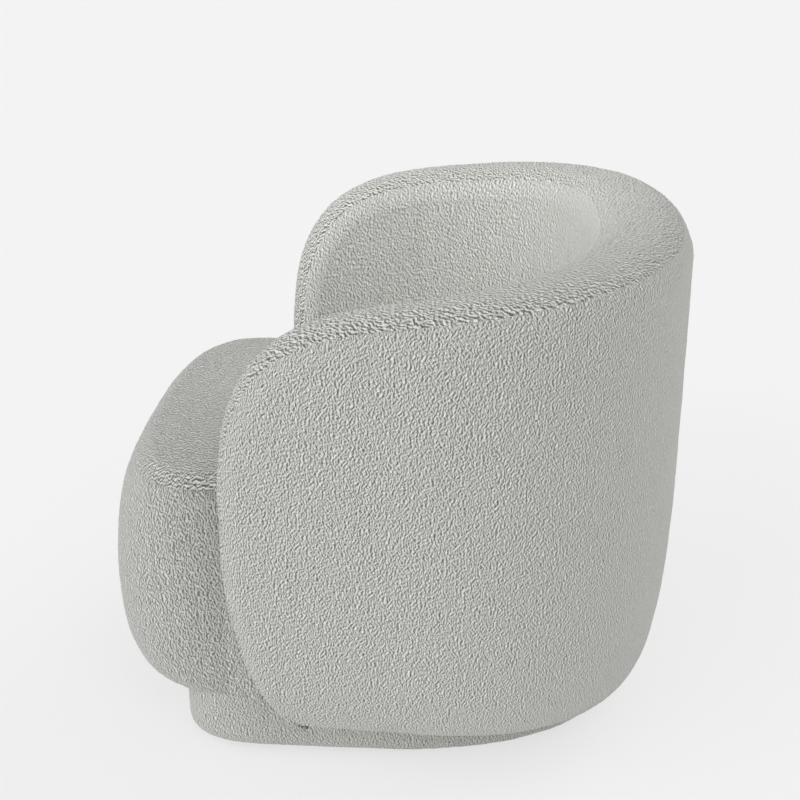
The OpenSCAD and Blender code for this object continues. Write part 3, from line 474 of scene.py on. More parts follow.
def plain_cloth(name, code, thread_mm):
    """Spun-bonded lining or tie cord: thin plastic fibre, dull, with a fine dimpled bond."""
    shades = [[c * share for c in linear(code)[:3]] + [1] for share in (0.8, 1.3)]
    return grained(name, "Voronoi", thread_mm, [(0.0, shades[0]), (1.0, shades[1])], 0.8, 0.4, 0.3)


def timber(name, light, dark, grain_mm, squash):
    """Birch plywood or sawn beech: fine straight grain, unfinished and dull."""
    stops = [(0.3, linear(dark)), (0.7, linear(light))]
    return grained(name, "Noise", grain_mm, stops, 0.65, 0.3, 0.3, {"Detail": 4.0}, squash)


def porous(name, light, dark, cell_mm, depth_mm):
    """Open-cell foam, wadding or hardboard: cells, tufts or fibres, quite matt."""
    stops = [(0.35, linear(dark)), (0.65, linear(light))]
    return grained(name, "Noise", cell_mm, stops, 0.9, 0.5, depth_mm, {"Detail": 3.0})


def zinc_steel(name):
    """Zinc-plated steel: dull silver with a faint spangle."""
    material, tree = new_material(name)
    place = add(tree, "ShaderNodeTexCoord")
    spangle = add(tree, "ShaderNodeTexVoronoi", None, {
        "Vector": place.outputs["Object"], "Scale": 1 / (2.5 * MM),
    })
    rough = add(tree, "ShaderNodeMapRange", None, {
        "Value": spangle.outputs["Distance"], "To Min": 0.28, "To Max": 0.48,
    })
    tone = add(tree, "ShaderNodeValToRGB", None, {"Fac": spangle.outputs["Distance"]})
    set_ramp(tone, [(0.0, linear("#a9adb2")), (1.0, linear("#c4c8cc"))])
    finish_material(tree, add(tree, "ShaderNodeBsdfPrincipled", None, {
        "Base Color": tone.outputs["Color"], "Roughness": rough.outputs["Result"], "Metallic": 1.0,
    }))
    return material


def moulded_nylon(name):
    """Injection-moulded nylon glide: near black, with a fine spark-eroded grain."""
    stops = [(0.3, linear("#1d1e20")), (0.7, linear("#292a2d"))]
    return grained(name, "Noise", 0.6, stops, 0.5, 0.3, 0.1, {"Detail": 2.0})


def dress(node_name, material):
    """Gives a CAD node its finish."""
    mesh = frame["nodes"][node_name].data
    mesh.materials.clear()
    mesh.materials.append(material)


def object_of(name, bm):
    """Turns a bmesh into an object in the scene."""
    mesh = bpy.data.meshes.new(name)
    bm.to_mesh(mesh)
    bm.free()
    made = bpy.data.objects.new(name, mesh)
    bpy.context.scene.collection.objects.link(made)
    return made


def laid_grid(columns, rows, place):
    """A grid that place(u, v) lays in space: its bmesh, its u and v, its points and its cloth UV."""
    bm = bmesh.new()
    bmesh.ops.create_grid(bm, x_segments=columns, y_segments=rows, size=1.0)
    uv = np.array([[(v.co.x + 1) / 2, (1 - v.co.y) / 2] for v in bm.verts])
    points, cloth_uv = place(uv[:, 0], uv[:, 1])
    for vert, point in zip(bm.verts, points):
        vert.co = point * MM
    return bm, uv, points, cloth_uv


def grid_object(name, columns, rows, place, material, closed=False, flip=False):
    """A cloth panel: a grid whose vertices are laid by place(u, v), which also gives the cloth's UV.

    u and v run from 0 to 1 over the columns and rows. Columns that run to the right and rows that
    run down face the viewer.
    """
    bm, _, _, cloth_uv = laid_grid(columns, rows, place)
    layer = bm.loops.layers.uv.new("cloth")
    for face in bm.faces:
        for loop in face.loops:
            loop[layer].uv = cloth_uv[loop.vert.index]
    if closed:
        bmesh.ops.remove_doubles(bm, verts=bm.verts, dist=1e-6)
    if flip:
        bmesh.ops.reverse_faces(bm, faces=bm.faces)
    piece = object_of(name, bm)
    piece.data.materials.append(material)
    piece.data.shade_smooth()
    return piece


def swell(name, columns, rows, place, cap_mm, free, flip=False):
    """Fills a panel like a cushion: cloth simulation under pressure on a coarse copy held at its seams.

    free(points) is 1 where the cloth may move and 0 where it is held down. Gives place(u, v) with the
    cloth's movement added, scaled so that no point moves further than cap_mm.
    """
    bm, uv, points, _ = laid_grid(columns, rows, place)
    held = bm.verts.layers.deform.verify()
    for vert, loose in zip(bm.verts, free(points)):
        vert[held][0] = 1.0 if vert.is_boundary else 1.0 - float(loose)
    if flip:
        bmesh.ops.reverse_faces(bm, faces=bm.faces)
    pad = object_of(name, bm)
    mesh, scene = pad.data, bpy.context.scene
    pad.vertex_groups.new(name="held")
    settings = pad.modifiers.new("filling", "CLOTH").settings
    settings.quality = FILL_QUALITY
    settings.vertex_group_mass = "held"
    settings.use_pressure = True
    settings.uniform_pressure_force = FILL_PRESSURE
    settings.effector_weights.gravity = 0.0
    for step in range(1, FILL_FRAMES + 1):
        scene.frame_set(step)
    filled = pad.evaluated_get(bpy.context.evaluated_depsgraph_get()).data
    moved = np.empty(len(points) * 3)
    filled.vertices.foreach_get("co", moved)
    moved = moved.reshape(-1, 3) / MM - points
    moved *= min(1.0, cap_mm / max(np.linalg.norm(moved, axis=1).max(), 1e-6))
    grid = np.zeros((columns + 1, rows + 1, 3))
    grid[np.rint(uv[:, 0] * columns).astype(int), np.rint(uv[:, 1] * rows).astype(int)] = moved
    bpy.data.objects.remove(pad)
    bpy.data.meshes.remove(mesh)
    scene.frame_set(1)

    def filled_place(u, v):
        laid, cloth_uv = place(u, v)
        i = np.clip((u * columns).astype(int), 0, columns - 1)
        j = np.clip((v * rows).astype(int), 0, rows - 1)
        a, b = (u * columns - i)[:, None], (v * rows - j)[:, None]
        near = grid[i, j] * (1 - a) + grid[i + 1, j] * a
        far = grid[i, j + 1] * (1 - a) + grid[i + 1, j + 1] * a
        return laid + near * (1 - b) + far * b, cloth_uv

    return filled_place


def pile(piece, cloth, loop_mm, height_mm):
    """Raises the loops of the pile out of the cloth, so that edges and seams show them."""
    mesh = piece.data
    count = len(mesh.vertices)
    places, normals = np.empty(count * 3), np.empty(count * 3)
    mesh.vertices.foreach_get("co", places)
    mesh.vertices.foreach_get("normal", normals)
    places, normals = places.reshape(-1, 3), normals.reshape(-1, 3)
    near = 1 / (loop_mm * MM)
    far = 1 / cloth.slack_span
    lift = np.array([
        noise.noise(Vector(p * near)) * height_mm * MM + noise.noise(Vector(p * far)) * cloth.slack
        for p in places
    ])
    mesh.vertices.foreach_set("co", (places + normals * lift[:, None]).ravel())
    mesh.update()


def seam_edge(side, arc, face, share):
    """A wall panel over the rim's edge, share 0 at the seam: places, angles, distances from the seam."""
    angle = SEAM_TURN * (1 - np.clip(share, 0, 1))
    return rim_corner_point(side, arc, face, angle), angle, (SEAM_TURN - angle) * corner_radius(arc)


def out_of_sheet(side, run):
    """The direction out of the shell, level with the floor."""
    nx, ny = plan_normal(run)
    return np.stack([side * nx, ny, np.zeros_like(nx)], axis=-1)


def sheet_uv(side, arc, radius, angle, on_edge, run, z):
    """Where the cloth's grain lies on a wall panel: along the run and up the wall."""
    edge_run, edge_h = inset_place(arc, radius * (1 - angle))
    return np.stack([
        side * (HALF_RUN - np.where(on_edge, edge_run, run)),
        np.where(on_edge, edge_h, z),
    ], axis=-1) * MM


def tucked(points, normals, distance, cloth):
    """Draws the cloth down into a seam: distance is how far each point lies from the seam."""
    pull = cloth.seam_depth / MM * np.exp(-(distance * MM / cloth.seam_width) ** 1.5)
    return points - normals * pull[:, None]


def seam_ease(arc):
    """Share of a seam's draw: none at the shell's foot, where the wall's edge is sharp."""
    return np.clip(arc / SEAM_START, 0, 1)[:, None]


def hold(piece, slot, fill, *nodes):
    """Puts a cloth piece in the place of the CAD nodes that it stands for."""
    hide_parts(*nodes)
    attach(piece, "root")


class TubChairCloth(bpy.types.PropertyGroup):
    """Colours and sizes of the boucle."""

    yarn_colour: StringProperty(name="Yarn", description="Colour of the yarn, sRGB hex", default="#afb0ab")
    # The second colour is painted shade on the shaded side of each loop, and the third a painted highlight
    # on its lit side; the yarn colour is the cloth's own
    painted_shade_colour: StringProperty(name="Painted shade", description="Colour between the loops", default="#5e5f5b")
    painted_highlight_colour: StringProperty(name="Painted highlight", description="Colour of the loops' tips", default="#e2e2de")
    loop: FloatProperty(name="Loop", description="Width of a loop", default=0.0027, unit="LENGTH")
    relief: FloatProperty(name="Relief", description="Height of the loops", default=0.0024, unit="LENGTH")
    seam_width: FloatProperty(name="Seam width", description="Reach of the cloth's draw into a seam",
                              default=0.003, unit="LENGTH")
    seam_depth: FloatProperty(name="Seam depth", description="Depth that a seam draws the cloth down",
                              default=0.0015, unit="LENGTH")
    slack: FloatProperty(name="Slack", description="Height of the cloth's slow unevenness",
                         default=0.0008, unit="LENGTH")
    slack_span: FloatProperty(name="Slack span", description="Span of the cloth's slow unevenness",
                              default=0.05, unit="LENGTH")


class TubChairStudio(bpy.types.PropertyGroup):
    """The camera and the lamps."""

    azimuth: FloatProperty(name="Azimuth", description="Camera's turn from the chair's front",
                           default=math.radians(94.03), subtype="ANGLE")
    elevation: FloatProperty(name="Elevation", description="Camera's height above the horizon",
                             default=math.radians(21.24), subtype="ANGLE")
    distance: FloatProperty(name="Distance", description="From the camera to the chair's middle",
                            default=2.2064, unit="LENGTH")
    aim_height: FloatProperty(name="Aim height", description="Height that the camera looks at",
                              default=0.4219, unit="LENGTH")
    aim_y: FloatProperty(name="Aim depth", description="Depth that the camera looks at",
                         default=-0.001, unit="LENGTH")
    lens: FloatProperty(name="Lens", description="Focal length on a 36 mm sensor, in millimetres",
                        default=67.516)
    sky: FloatProperty(name="Sky", description="Strength of the soft light from all round", default=0.52)
    key: FloatProperty(name="Key", description="Strength of the key lamp above the near side", default=0.48)
    front: FloatProperty(name="Front", description="Strength of the lamp before the chair", default=0.75)
    low: FloatProperty(name="Low", description="Strength of the lamp near the floor", default=1.25)
    back: FloatProperty(name="Back", description="Strength of the lamp behind the chair", default=0.75)
    inner: FloatProperty(name="Inner", description="Power of the lamp into the tub, in watts", default=34.0)
    floor_colour: StringProperty(name="Floor", description="Colour of the floor's paint", default="#f8f8f8")
    backdrop: StringProperty(name="Backdrop", description="Colour of the backdrop", default="#f6f6f6")
    blend: FloatProperty(name="Blend", description="Share of the backdrop in the floor as it is seen",
                         default=0.72, subtype="FACTOR")


def cloth_of(context):
    return context.scene.tub_chair_cloth


class TUBCHAIR_OT_shell(bpy.types.Operator):
    """Covers the shell: the outer panel, the boxed rim band and the inner panel"""

    bl_idname = "tubchair.shell"
    bl_label = "Shell covers"

    def execute(self, context):
        cloth = cloth_of(context)
        sides = boucle("boucle_sides", cloth)
        band = boucle("boucle_band", cloth, size=1.2, stretch=1.5, turn=65, relief=1.9, painted_light_contrast=1.5)
        self.outer_panel(cloth, sides)
        self.rim_band(cloth, band)
        inside = boucle("boucle_inside", cloth, size=1.25, painted_light_contrast=0.8)
        self.inner_panel(cloth, inside)
        return {"FINISHED"}

    @staticmethod
    def arc_of(u, first):
        """Half and arc of a column: u runs from the right arm to the left, and both ends lie at first."""
        side = np.where(u <= 0.5, 1.0, -1.0)
        return side, mix(first, RIM_LENGTH, 1 - np.abs(2 * u - 1))

    def outer_panel(self, cloth, material):
        # Shares of the rows over the rim's edge and above the hem, and the hem's sizes
        edge_share = 0.09
        hem_share = 0.97
        hem_rise, hem_dip, hem_in = 9, 6, 3
        row_crowding = 1.35

        def place(u, v):
            side, arc = self.arc_of(u, 0)
            edge, angle, from_seam = seam_edge(side, arc, -1, v / edge_share)
            radius = corner_radius(arc)
            top_run, top_h = inset_place(arc, radius)
            share = arc / NOSE_TOP_ARC
            foot_run = np.where(share < 1, mix(NOSE_FOOT_RUN, NOSE_TOP_RUN, share), top_run)
            t = ramp(v, edge_share, hem_share)
            # Rows close up towards the drawn-in foot
            t = 1 - (1 - t) ** row_crowding
            run, z = mix(top_run, foot_run, t), mix(top_h, SHELL_BASE_H, t)
            depth = outer_depth(run, z)
            hem = ramp(v, hem_share, 1)
            hemmed = at(side, run, z + hem_rise * hem - hem_dip * np.sin(np.pi * hem), depth + hem_in * hem)
            on_edge = v < edge_share
            face = np.where((v > hem_share)[:, None], hemmed, at(side, run, z, depth))
            points = np.where(on_edge[:, None], edge, face)
            out = out_of_sheet(side, run)
            normals = np.where(on_edge[:, None], out * 0.7 + [0, 0, 0.7], out) * seam_ease(arc)
            distance = np.where(on_edge, from_seam, from_seam + (top_h - z))
            points = tucked(points, normals, distance, cloth)
            return points, sheet_uv(side, arc, radius, angle, on_edge, run, z)

        place = swell("outer_panel_fill", 150, 40, place, 2.5,
                      lambda points: ramp(points[:, 2], FREE_H, FREE_H + 60))
        piece = grid_object("outer_panel", 740, 130, place, material)
        pile(piece, cloth, *FINE_PILE)
        hold(piece, "boucle", 0.9, "outer_cover", "outer_wadding")

    def rim_band(self, cloth, material):
        # The band's ends turn in a little under the shell
        tail, tail_draw, tail_rise = 1.0, 0.04, 0.8
        # Below the seat the band goes on round its inner corner and lines the arm's foot
        lining_w, lining_stop, lining_fade = 95.0, NOSE_ARC - 12, 18
        # The band is held up to the first height and free from the second
        held_h, free_h = 330, 390

        def place(u, v):
            side, way_round = self.arc_of(u, -tail)
            arc = np.clip(way_round, 0, None)
            behind = np.clip(-way_round, 0, None)
            half, radius = half_wall(arc), corner_radius(arc)
            flat = half - radius
            reach = flat + radius * SEAM_TURN
            lining = lining_w * (1 - ramp(arc, lining_stop, lining_stop + lining_fade))
            way = mix(-reach, reach + lining, v)
            face = np.where(way < 0, -1.0, 1.0)
            over = np.clip(np.abs(way) - flat, 0, None)
            angle = np.clip(np.radians(90) - over / radius, 0, None)
            across = np.where(over > 0, face * (half - radius * (1 - np.cos(angle))), way)
            crown = RIM_CROWN * (across / half) ** 2 * np.sin(angle)
            e = radius * (1 - np.sin(angle)) + crown + np.clip(over - radius * np.radians(90), 0, None)
            turned_in = behind / tail
            inward = across * (1 - tail_draw * turned_in)
            points = rim_section(side, arc, inward, e + tail_rise * turned_in, behind)
            in_run, in_h = rim_value(arc, IN_RUN), rim_value(arc, IN_H)
            run, _ = inset_place(arc, e)
            nx, ny = plan_normal(run)
            # Outward along the sheet, away from the rim's middle, and out of the nearer face
            out = np.stack([side * ny * in_run, -nx * in_run, -in_h], axis=-1)
            out = out - out_of_sheet(side, run) * (face * np.cos(angle))[:, None]
            out = out / np.linalg.norm(out, axis=1)[:, None]
            points = tucked(points, out * seam_ease(arc), np.abs(reach - np.abs(way)), cloth)
            return points, np.stack([side * (RIM_LENGTH - way_round), way], axis=-1) * MM

        place = swell("rim_band_fill", 200, 16, place, 2.0,
                      lambda points: ramp(points[:, 2], held_h, free_h), flip=True)
        piece = grid_object("rim_band", 860, 60, place, material, flip=True)
        pile(piece, cloth, *COARSE_PILE)
        hold(piece, "boucle", 0.8, "rim_cover", "rim_foam")

    def inner_panel(self, cloth, material):
        edge_share = 0.13
        # The cloth ends at the first height, is held up to the second and is free from the third
        low, held_h, free_h = 335.0, SEAT_H + 12, SEAT_H + 62
        # The inner face is shorter than the outer one, so its cloth has lengths of its own
        marks = np.linspace(0, HALF_RUN, 400)
        face_line = at(1, marks, np.full_like(marks, SEAT_H), inner_face(marks))
        lengths = np.concatenate([[0], np.cumsum(np.linalg.norm(np.diff(face_line, axis=0), axis=1))])

        def place(u, v):
            side, arc = self.arc_of(u, NOSE_ARC)
            edge, angle, from_seam = seam_edge(side, arc, 1, v / edge_share)
            radius = corner_radius(arc)
            top_run, top_h = inset_place(arc, radius)
            share = (arc - NOSE_ARC) / (NOSE_TOP_ARC - NOSE_ARC)
            foot_run = np.where(share < 1, mix(RIM_CORNER, NOSE_TOP_RUN, share), top_run)
            t = ramp(v, edge_share, 1)
            run, z = mix(top_run, foot_run, t), mix(top_h, np.minimum(low, top_h - 1), t)
            on_edge = v < edge_share
            points = np.where(on_edge[:, None], edge, at(side, run, z, inner_depth(run, z)))
            inward = -out_of_sheet(side, run)
            normals = np.where(on_edge[:, None], inward * 0.7 + [0, 0, 0.7], inward)
            distance = np.where(on_edge, from_seam, from_seam + (top_h - z))
            points = tucked(points, normals, distance, cloth)
            laid = sheet_uv(side, arc, radius, angle, on_edge, run, z)
            way = np.interp(HALF_RUN - np.abs(laid[:, 0]) / MM, marks, lengths)
            laid[:, 0] = side * (lengths[-1] - way) * MM
            return points, laid

        place = swell("inner_panel_fill", 130, 30, place, 2.5,
                      lambda points: ramp(points[:, 2], held_h, free_h), flip=True)
        piece = grid_object("inner_panel", 560, 110, place, material, flip=True)
        pile(piece, cloth, *FINE_PILE)
        hold(piece, "boucle", 0.85, "inner_cover", "inner_foam")


class TUBCHAIR_OT_seat(bpy.types.Operator):
    """Covers the seat block: its top panel and its bulging front border"""

    bl_idname = "tubchair.seat"
    bl_label = "Seat covers"

    def execute(self, context):
        cloth = cloth_of(context)
        top = boucle("boucle_seat_top", cloth, size=1.35, stretch=0.85, relief=1.9, painted_light_contrast=1.9)
        border = boucle("boucle_seat_border", cloth, size=1.15, relief=1.9, painted_light_contrast=1.5)
        self.top_panel(cloth, top)
        self.front_border(cloth, border)
        return {"FINISHED"}

    @staticmethod
    def rim_of(t, seam_inset):
        """The ring of the seat's edge, t 0 at its seam and 1 where the crown starts."""
        front_inset = mix(seam_inset, SEAT_TOP_ROUND, t)
        a = np.radians(np.linspace(0, 90, 160))
        across = SEAT_EDGE_RUN * t
        x, y = front_place(a, SEAT_HALF - across, SEAT_FRONT_DEPTH - front_inset)
        wall_h = SEAT_EDGE_H - SEAT_EDGE_DIP * (1 - t) ** 2
        front_h = border_h(np.array([front_inset]))[0]
        z = mix(wall_h, front_h, np.clip(np.cos(a), 0, 1) ** (2 / SEAT_PLAN_POWER))
        # Along the wall the ring starts behind the arm's front and keeps a little off the wall
        wall_start, wall_gap = 45, 0.3
        run = np.linspace(wall_start, HALF_RUN, 240)
        wall = at(1, run, np.full_like(run, wall_h), inner_face(run) + wall_gap + across)
        half = np.concatenate([np.stack([x, y, z], axis=-1), wall])
        other = half[::-1][1:-1] * np.array([-1, 1, 1])
        ring = np.concatenate([half, other, half[:1]])
        along = np.concatenate([[0], np.cumsum(np.linalg.norm(np.diff(ring[:, :2], axis=0), axis=1))])
        return ring, along / along[-1]

    def top_panel(self, cloth, material):
        seam_inset = float(border_inset(np.array([SEAT_SEAM_H]))[0])
        edge_share = 0.8
        steps = 23
        levels = [self.rim_of(t, seam_inset) for t in np.linspace(0, 1, steps + 1)]
        base_along = levels[-1][1]
        stack = np.stack([ring for ring, _ in levels])
        middle_y = float((SEAT_SIDE_Y - SEAT_FRONT_DEPTH + stack[0, :, 1].max()) / 2)

        def ring_at(t, around):
            """Points of the ring t at places around it, by index along the ring."""
            low = np.clip((t * steps).astype(int), 0, steps - 1)
            part = t * steps - low
            index = np.interp(around, base_along, np.arange(len(base_along)))
            first = np.clip(index.astype(int), 0, stack.shape[1] - 2)
            rest = (index - first)[:, None]

            def sample(level):
                return stack[level, first] * (1 - rest) + stack[level, first + 1] * rest

            return sample(low) * (1 - part)[:, None] + sample(low + 1) * part[:, None]

        def place(u, v):
            # A square grid drawn into a disc, then out to the seat's outline
            a, b = 2 * u - 1, 1 - 2 * v
            x, y = a * np.sqrt(1 - b * b / 2), b * np.sqrt(1 - a * a / 2)
            radius = np.clip(np.hypot(x, y), 0, 1)
            # Around starts at the front's middle and goes by the right arm
            around = (np.arctan2(x, -y) / (2 * np.pi)) % 1.0
            t = np.clip((1 - radius) / (1 - edge_share), 0, 1)
            ring = ring_at(t, around)
            share = np.clip(radius / edge_share, 0, 1)
            inner = ring * np.stack([share, share, np.ones_like(share)], axis=-1)
            inner[:, 1] += middle_y * (1 - share)
            inner[:, 2] = mix(SEAT_EDGE_H, ring[:, 2], share ** 3) + SEAT_CROWN * (1 - share ** 2)
            points = np.where((radius < edge_share)[:, None], inner, ring)
            # The cloth is laid flat over the edge, so its grain isn't squeezed there
            crest = ring_at(np.ones_like(t), around)
            over = points - crest
            plan = np.hypot(over[:, 0], over[:, 1])
            least = 0.01
            ease = np.where(plan > least, np.linalg.norm(over, axis=1) / np.maximum(plan, least), 1.0)
            return points, np.where((t < 1)[:, None], crest + over * ease[:, None], points)[:, :2] * MM

        place = swell("seat_top_fill", 60, 60, place, 5.0,
                      lambda points: ramp(points[:, 2], SEAT_EDGE_H - 3, SEAT_EDGE_H))
        piece = grid_object("seat_top", 250, 250, place, material)
        pile(piece, cloth, *FINE_PILE)
        hold(piece, "boucle", 0.85, "seat_top_cover", "seat_topper")

    def front_border(self, cloth, material):
        # The border's ends run on between the arms and flare at first; its hem turns in under the seat
        tail, flare, flare_run = 100.0, 0.3, 45
        hem_w, hem_draw, hem_gap = 60, 0.1, 6
        under_share = 0.9
        seam_share = (SEAT_SEAM_H - SEAT_BULGE_H) / (SEAT_EDGE_H - SEAT_BULGE_H)
        top_turn = math.asin(seam_share ** (SEAT_TOP_POWER / 2))

        def place(u, v):
            half_swing = even_angles(SEAT_PLAN_POWER)
            swing = np.concatenate([-half_swing[::-1], half_swing[1:]])
            x, y = front_place(swing, SEAT_HALF, SEAT_FRONT_DEPTH)
            along = np.concatenate([[0], np.cumsum(np.hypot(np.diff(x), np.diff(y)))])
            length = along[-1]
            way = u * (length + 2 * tail) - tail
            a = np.interp(way, along, swing)
            beyond = np.where(way < 0, -way, np.where(way > length, way - length, 0))
            t = np.clip(v / under_share, 0, 1)
            turn = mix(top_turn, -np.radians(90), t)
            z = np.where(
                turn > 0,
                mix(SEAT_BULGE_H, SEAT_EDGE_H, np.sin(np.clip(turn, 0, None)) ** (2 / SEAT_TOP_POWER)),
                mix(SEAT_BULGE_H, SEAT_BASE_H, np.sin(np.clip(-turn, 0, None)) ** (2 / SEAT_FOOT_POWER)),
            )
            inset = border_inset(z)
            under = ramp(v, under_share, 1)
            px, py = front_place(a, SEAT_HALF, SEAT_FRONT_DEPTH - inset)
            px = (px + np.sign(px) * np.minimum(beyond, flare_run) * flare) * (1 - hem_draw * under)
            py = mix(py, np.maximum(py, PLINTH_FRONT_Y + hem_gap), under) + beyond
            points = np.stack([px, py, z], axis=-1)
            out = np.stack([np.sin(a), -np.cos(a), np.full_like(a, 0.3)], axis=-1)
            # Only the upper seam draws the cloth down
            distance = np.where(v < 0.5, SEAT_SEAM_H - z, 99.0)
            points = tucked(points, out, distance, cloth)
            return points, np.stack([way, z - under * hem_w], axis=-1) * MM

        # The border swells only where it stands out before the arms
        ahead = SEAT_SIDE_Y - 15
        place = swell("seat_border_fill", 90, 36, place, 2.5,
                      lambda points: ramp(-points[:, 1], -ahead, 40 - ahead)
                      * ramp(points[:, 2], FREE_H, FREE_H + 40))
        piece = grid_object("seat_border", 330, 140, place, material)
        pile(piece, cloth, *COARSE_PILE)
        hold(piece, "boucle", 0.9, "seat_border_cover", "seat_bottom_cover", "seat_border_foam")


class TUBCHAIR_OT_plinth(bpy.types.Operator):
    """Covers the plinth in boucle over its padded lower edge"""

    bl_idname = "tubchair.plinth"
    bl_label = "Plinth cover"

    def execute(self, context):
        cloth = cloth_of(context)
        material = boucle("boucle_plinth", cloth)
        # Widths turned in over the plinth's top and under its edge
        head, tail = 34.0, 14.0

        def place(u, v):
            front, back = even_angles(PLINTH_FRONT_POWER), even_angles(PLAN_POWER)
            right = np.concatenate([front, np.pi - back[::-1][1:]])
            angles = np.concatenate([right, 2 * np.pi - right[::-1][1:]])
            x, y = plinth_place(angles, 0.0)
            along = np.concatenate([[0], np.cumsum(np.hypot(np.diff(x), np.diff(y)))])
            a = np.interp(u * along[-1], along, angles)
            side_h = PLINTH_TOP_H - PLINTH_CLEAR - PLINTH_EDGE
            roll = PLINTH_EDGE * np.pi / 2
            # The cover turns in over the top, comes down the side and rolls under the padded edge
            way = v * (head + side_h + roll + tail) - head
            turn = np.clip((way - side_h) / PLINTH_EDGE, 0, np.pi / 2)
            inset = PLINTH_EDGE * (1 - np.cos(turn)) + np.clip(way - side_h - roll, 0, None)
            inset = inset + np.clip(-way, 0, None)
            fall = PLINTH_TOP_H - np.clip(way, 0, None)
            z = np.where(way < side_h, fall, PLINTH_CLEAR + PLINTH_EDGE * (1 - np.sin(turn)))
            px, py = plinth_place(a, inset)
            return np.stack([px, py, z], axis=-1), np.stack([u * along[-1], -way], axis=-1) * MM

        piece = grid_object("plinth_skin", 600, 60, place, material, closed=True)
        pile(piece, cloth, *FINE_PILE)
        hold(piece, "boucle", 0.9, "plinth_cover", "plinth_wadding")
        return {"FINISHED"}


class TUBCHAIR_OT_frame(bpy.types.Operator):
    """Finishes the pieces under the covers: timber, boards, foam, springs, fixings and glides"""

    bl_idname = "tubchair.frame"
    bl_label = "Frame finishes"

    def execute(self, context):
        finishes = {
            "plywood": timber("birch_plywood", "#d9bd92", "#bf9c6c", 2.0, (0.2, 1.0, 3.0)),
            "beech": timber("sawn_beech", "#cfa777", "#b58756", 1.5, (1.0, 1.0, 0.15)),
            "board": porous("pressed_hardboard", "#8a6a48", "#6b4f33", 1.2, 0.2),
            "foam": porous("polyurethane_foam", "#efe4b8", "#d8cb98", 1.0, 0.4),
            "wadding": porous("polyester_wadding", "#f4f4f1", "#dcdcd8", 4.0, 1.0),
            "steel": zinc_steel("zinc_plated_steel"),
            "lining": plain_cloth("spun_bonded_lining", "#2b2c2f", 1.2),
            "glide": moulded_nylon("moulded_nylon"),
            "boucle": porous("boucle_backing", "#b4b5af", "#8d8e89", 3.0, 0.6),
        }
        for part in frame["record"]["subparts"]:
            dress(part["node"], finishes[part["material_slot"]])
        return {"FINISHED"}


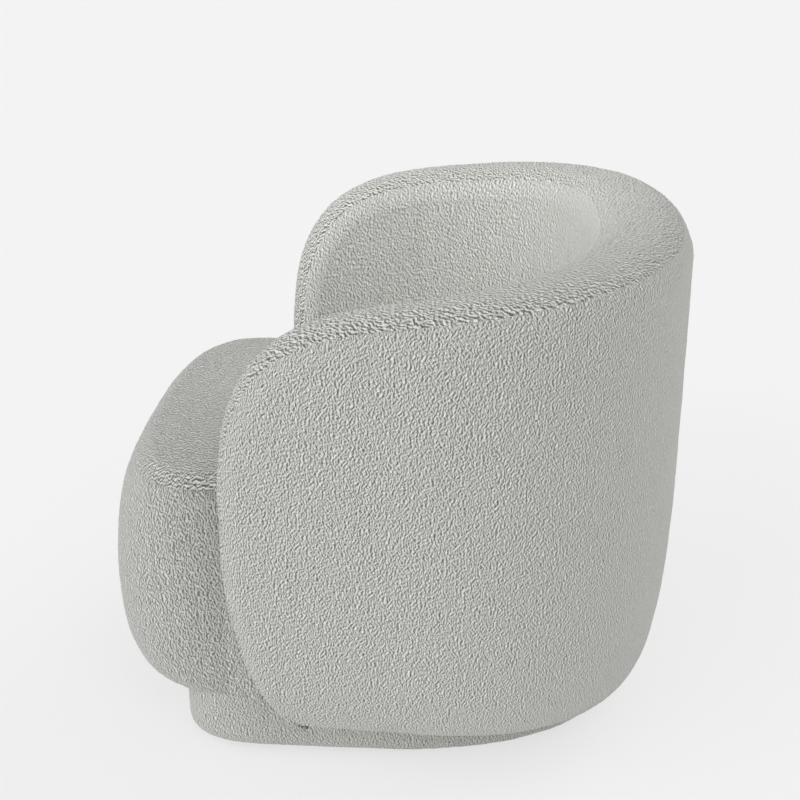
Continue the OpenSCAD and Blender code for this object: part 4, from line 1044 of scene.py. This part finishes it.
class TUBCHAIR_OT_stage(bpy.types.Operator):
    """Sets up the pale floor, the soft light and the camera at the photograph's angle"""

    bl_idname = "tubchair.stage"
    bl_label = "Studio"

    def execute(self, context):
        studio = context.scene.tub_chair_studio
        scene = context.scene
        self.floor(studio)
        self.sky(scene, studio)
        self.lamp("key_lamp", studio.key, (0.68, 0.28, 0.65), 35)
        self.lamp("front_lamp", studio.front, (0.3, -0.85, 0.4), 50)
        self.lamp("low_lamp", studio.low, (0.75, -0.5, 0.12), 40)
        self.lamp("back_lamp", studio.back, (-0.5, 0.7, 0.45), 60)
        self.spot(studio)
        self.camera(scene, studio)
        scene.view_settings.view_transform = "Standard"
        return {"FINISHED"}

    @staticmethod
    def floor(studio):
        bm = bmesh.new()
        bmesh.ops.create_circle(bm, cap_ends=True, segments=64, radius=40.0)
        floor = object_of("studio_floor", bm)
        material, tree = new_material("painted_floor")
        # Matt paint that fades into the backdrop, so that the floor keeps only a light shadow
        matt = add(tree, "ShaderNodeBsdfDiffuse", None, {"Color": linear(studio.floor_colour)})
        even = add(tree, "ShaderNodeEmission", None, {"Color": linear(studio.backdrop), "Strength": 1.0})
        ray = add(tree, "ShaderNodeLightPath")
        share = add(tree, "ShaderNodeMath", {"operation": "MULTIPLY"}, {
            0: ray.outputs["Is Camera Ray"], 1: studio.blend,
        })
        finish_material(tree, add(tree, "ShaderNodeMixShader", None, {
            "Fac": share.outputs["Value"], 1: matt.outputs[0], 2: even.outputs[0],
        }))
        floor.data.materials.append(material)

    @staticmethod
    def sky(scene, studio):
        world = bpy.data.worlds.new("studio_sky")
        world.use_nodes = True
        tree = world.node_tree
        tree.nodes.clear()
        ray = add(tree, "ShaderNodeLightPath")
        seen = add(tree, "ShaderNodeMath", {"operation": "MAXIMUM"}, {
            0: ray.outputs["Is Camera Ray"], 1: ray.outputs["Is Glossy Ray"],
        })
        through = add(tree, "ShaderNodeMath", {"operation": "MAXIMUM"}, {
            0: seen.outputs["Value"], 1: ray.outputs["Is Transmission Ray"],
        })
        soft = add(tree, "ShaderNodeBackground", None, {"Color": (1, 1, 1, 1), "Strength": studio.sky})
        plain = add(tree, "ShaderNodeBackground", None, {"Color": linear(studio.backdrop), "Strength": 1.0})
        both = add(tree, "ShaderNodeMixShader", None, {
            "Fac": through.outputs["Value"], 1: soft.outputs[0], 2: plain.outputs[0],
        })
        add(tree, "ShaderNodeOutputWorld", None, {"Surface": both.outputs[0]})
        scene.world = world

    @staticmethod
    def lamp(name, strength, towards, softness):
        data = bpy.data.lights.new(name, "SUN")
        data.energy = strength
        data.angle = math.radians(softness)
        lamp = bpy.data.objects.new(name, data)
        lamp.rotation_euler = Vector(towards).to_track_quat("Z", "Y").to_euler()
        bpy.context.scene.collection.objects.link(lamp)

    @staticmethod
    def spot(studio):
        """A broad spot from above the near arm into the tub."""
        data = bpy.data.lights.new("inner_lamp", "SPOT")
        data.energy = studio.inner
        data.spot_size = math.radians(36)
        data.spot_blend = 0.9
        data.shadow_soft_size = 0.2
        lamp = bpy.data.objects.new("inner_lamp", data)
        lamp.location = (0.8, -0.45, 1.7)
        away = lamp.location - Vector((-0.32, 0.12, 0.58))
        lamp.rotation_euler = away.to_track_quat("Z", "Y").to_euler()
        bpy.context.scene.collection.objects.link(lamp)

    @staticmethod
    def camera(scene, studio):
        aim = Vector((0, studio.aim_y, studio.aim_height))
        away = Vector((
            math.sin(studio.azimuth) * math.cos(studio.elevation),
            -math.cos(studio.azimuth) * math.cos(studio.elevation),
            math.sin(studio.elevation),
        ))
        data = bpy.data.cameras.new("photo_camera")
        data.lens = studio.lens
        data.sensor_width = 36.0
        camera = bpy.data.objects.new("photo_camera", data)
        camera.location = aim + away * studio.distance
        camera.rotation_euler = away.to_track_quat("Z", "Y").to_euler()
        scene.collection.objects.link(camera)
        scene.camera = camera


class TUBCHAIR_PT_panel(bpy.types.Panel):
    """The tub chair's settings and steps"""

    bl_idname = "TUBCHAIR_PT_panel"
    bl_label = "Tub Chair"
    bl_space_type = "VIEW_3D"
    bl_region_type = "UI"
    bl_category = "Tub Chair"

    def draw(self, context):
        layout = self.layout
        for group in (context.scene.tub_chair_cloth, context.scene.tub_chair_studio):
            box = layout.box()
            for name in group.__annotations__:
                box.prop(group, name)
        for step in STEPS:
            layout.operator(step.bl_idname)


STEPS = (
    TUBCHAIR_OT_frame,
    TUBCHAIR_OT_shell,
    TUBCHAIR_OT_seat,
    TUBCHAIR_OT_plinth,
    TUBCHAIR_OT_stage,
)
CLASSES = (TubChairCloth, TubChairStudio) + STEPS + (TUBCHAIR_PT_panel,)


def register():
    for kind in CLASSES:
        bpy.utils.register_class(kind)
    bpy.types.Scene.tub_chair_cloth = PointerProperty(type=TubChairCloth)
    bpy.types.Scene.tub_chair_studio = PointerProperty(type=TubChairStudio)


def unregister():
    del bpy.types.Scene.tub_chair_cloth
    del bpy.types.Scene.tub_chair_studio
    for kind in reversed(CLASSES):
        bpy.utils.unregister_class(kind)


def main():
    register()
    bpy.ops.tubchair.frame()
    bpy.ops.tubchair.shell()
    bpy.ops.tubchair.seat()
    bpy.ops.tubchair.plinth()
    bpy.ops.tubchair.stage()


if __name__ == "__main__":
    main()
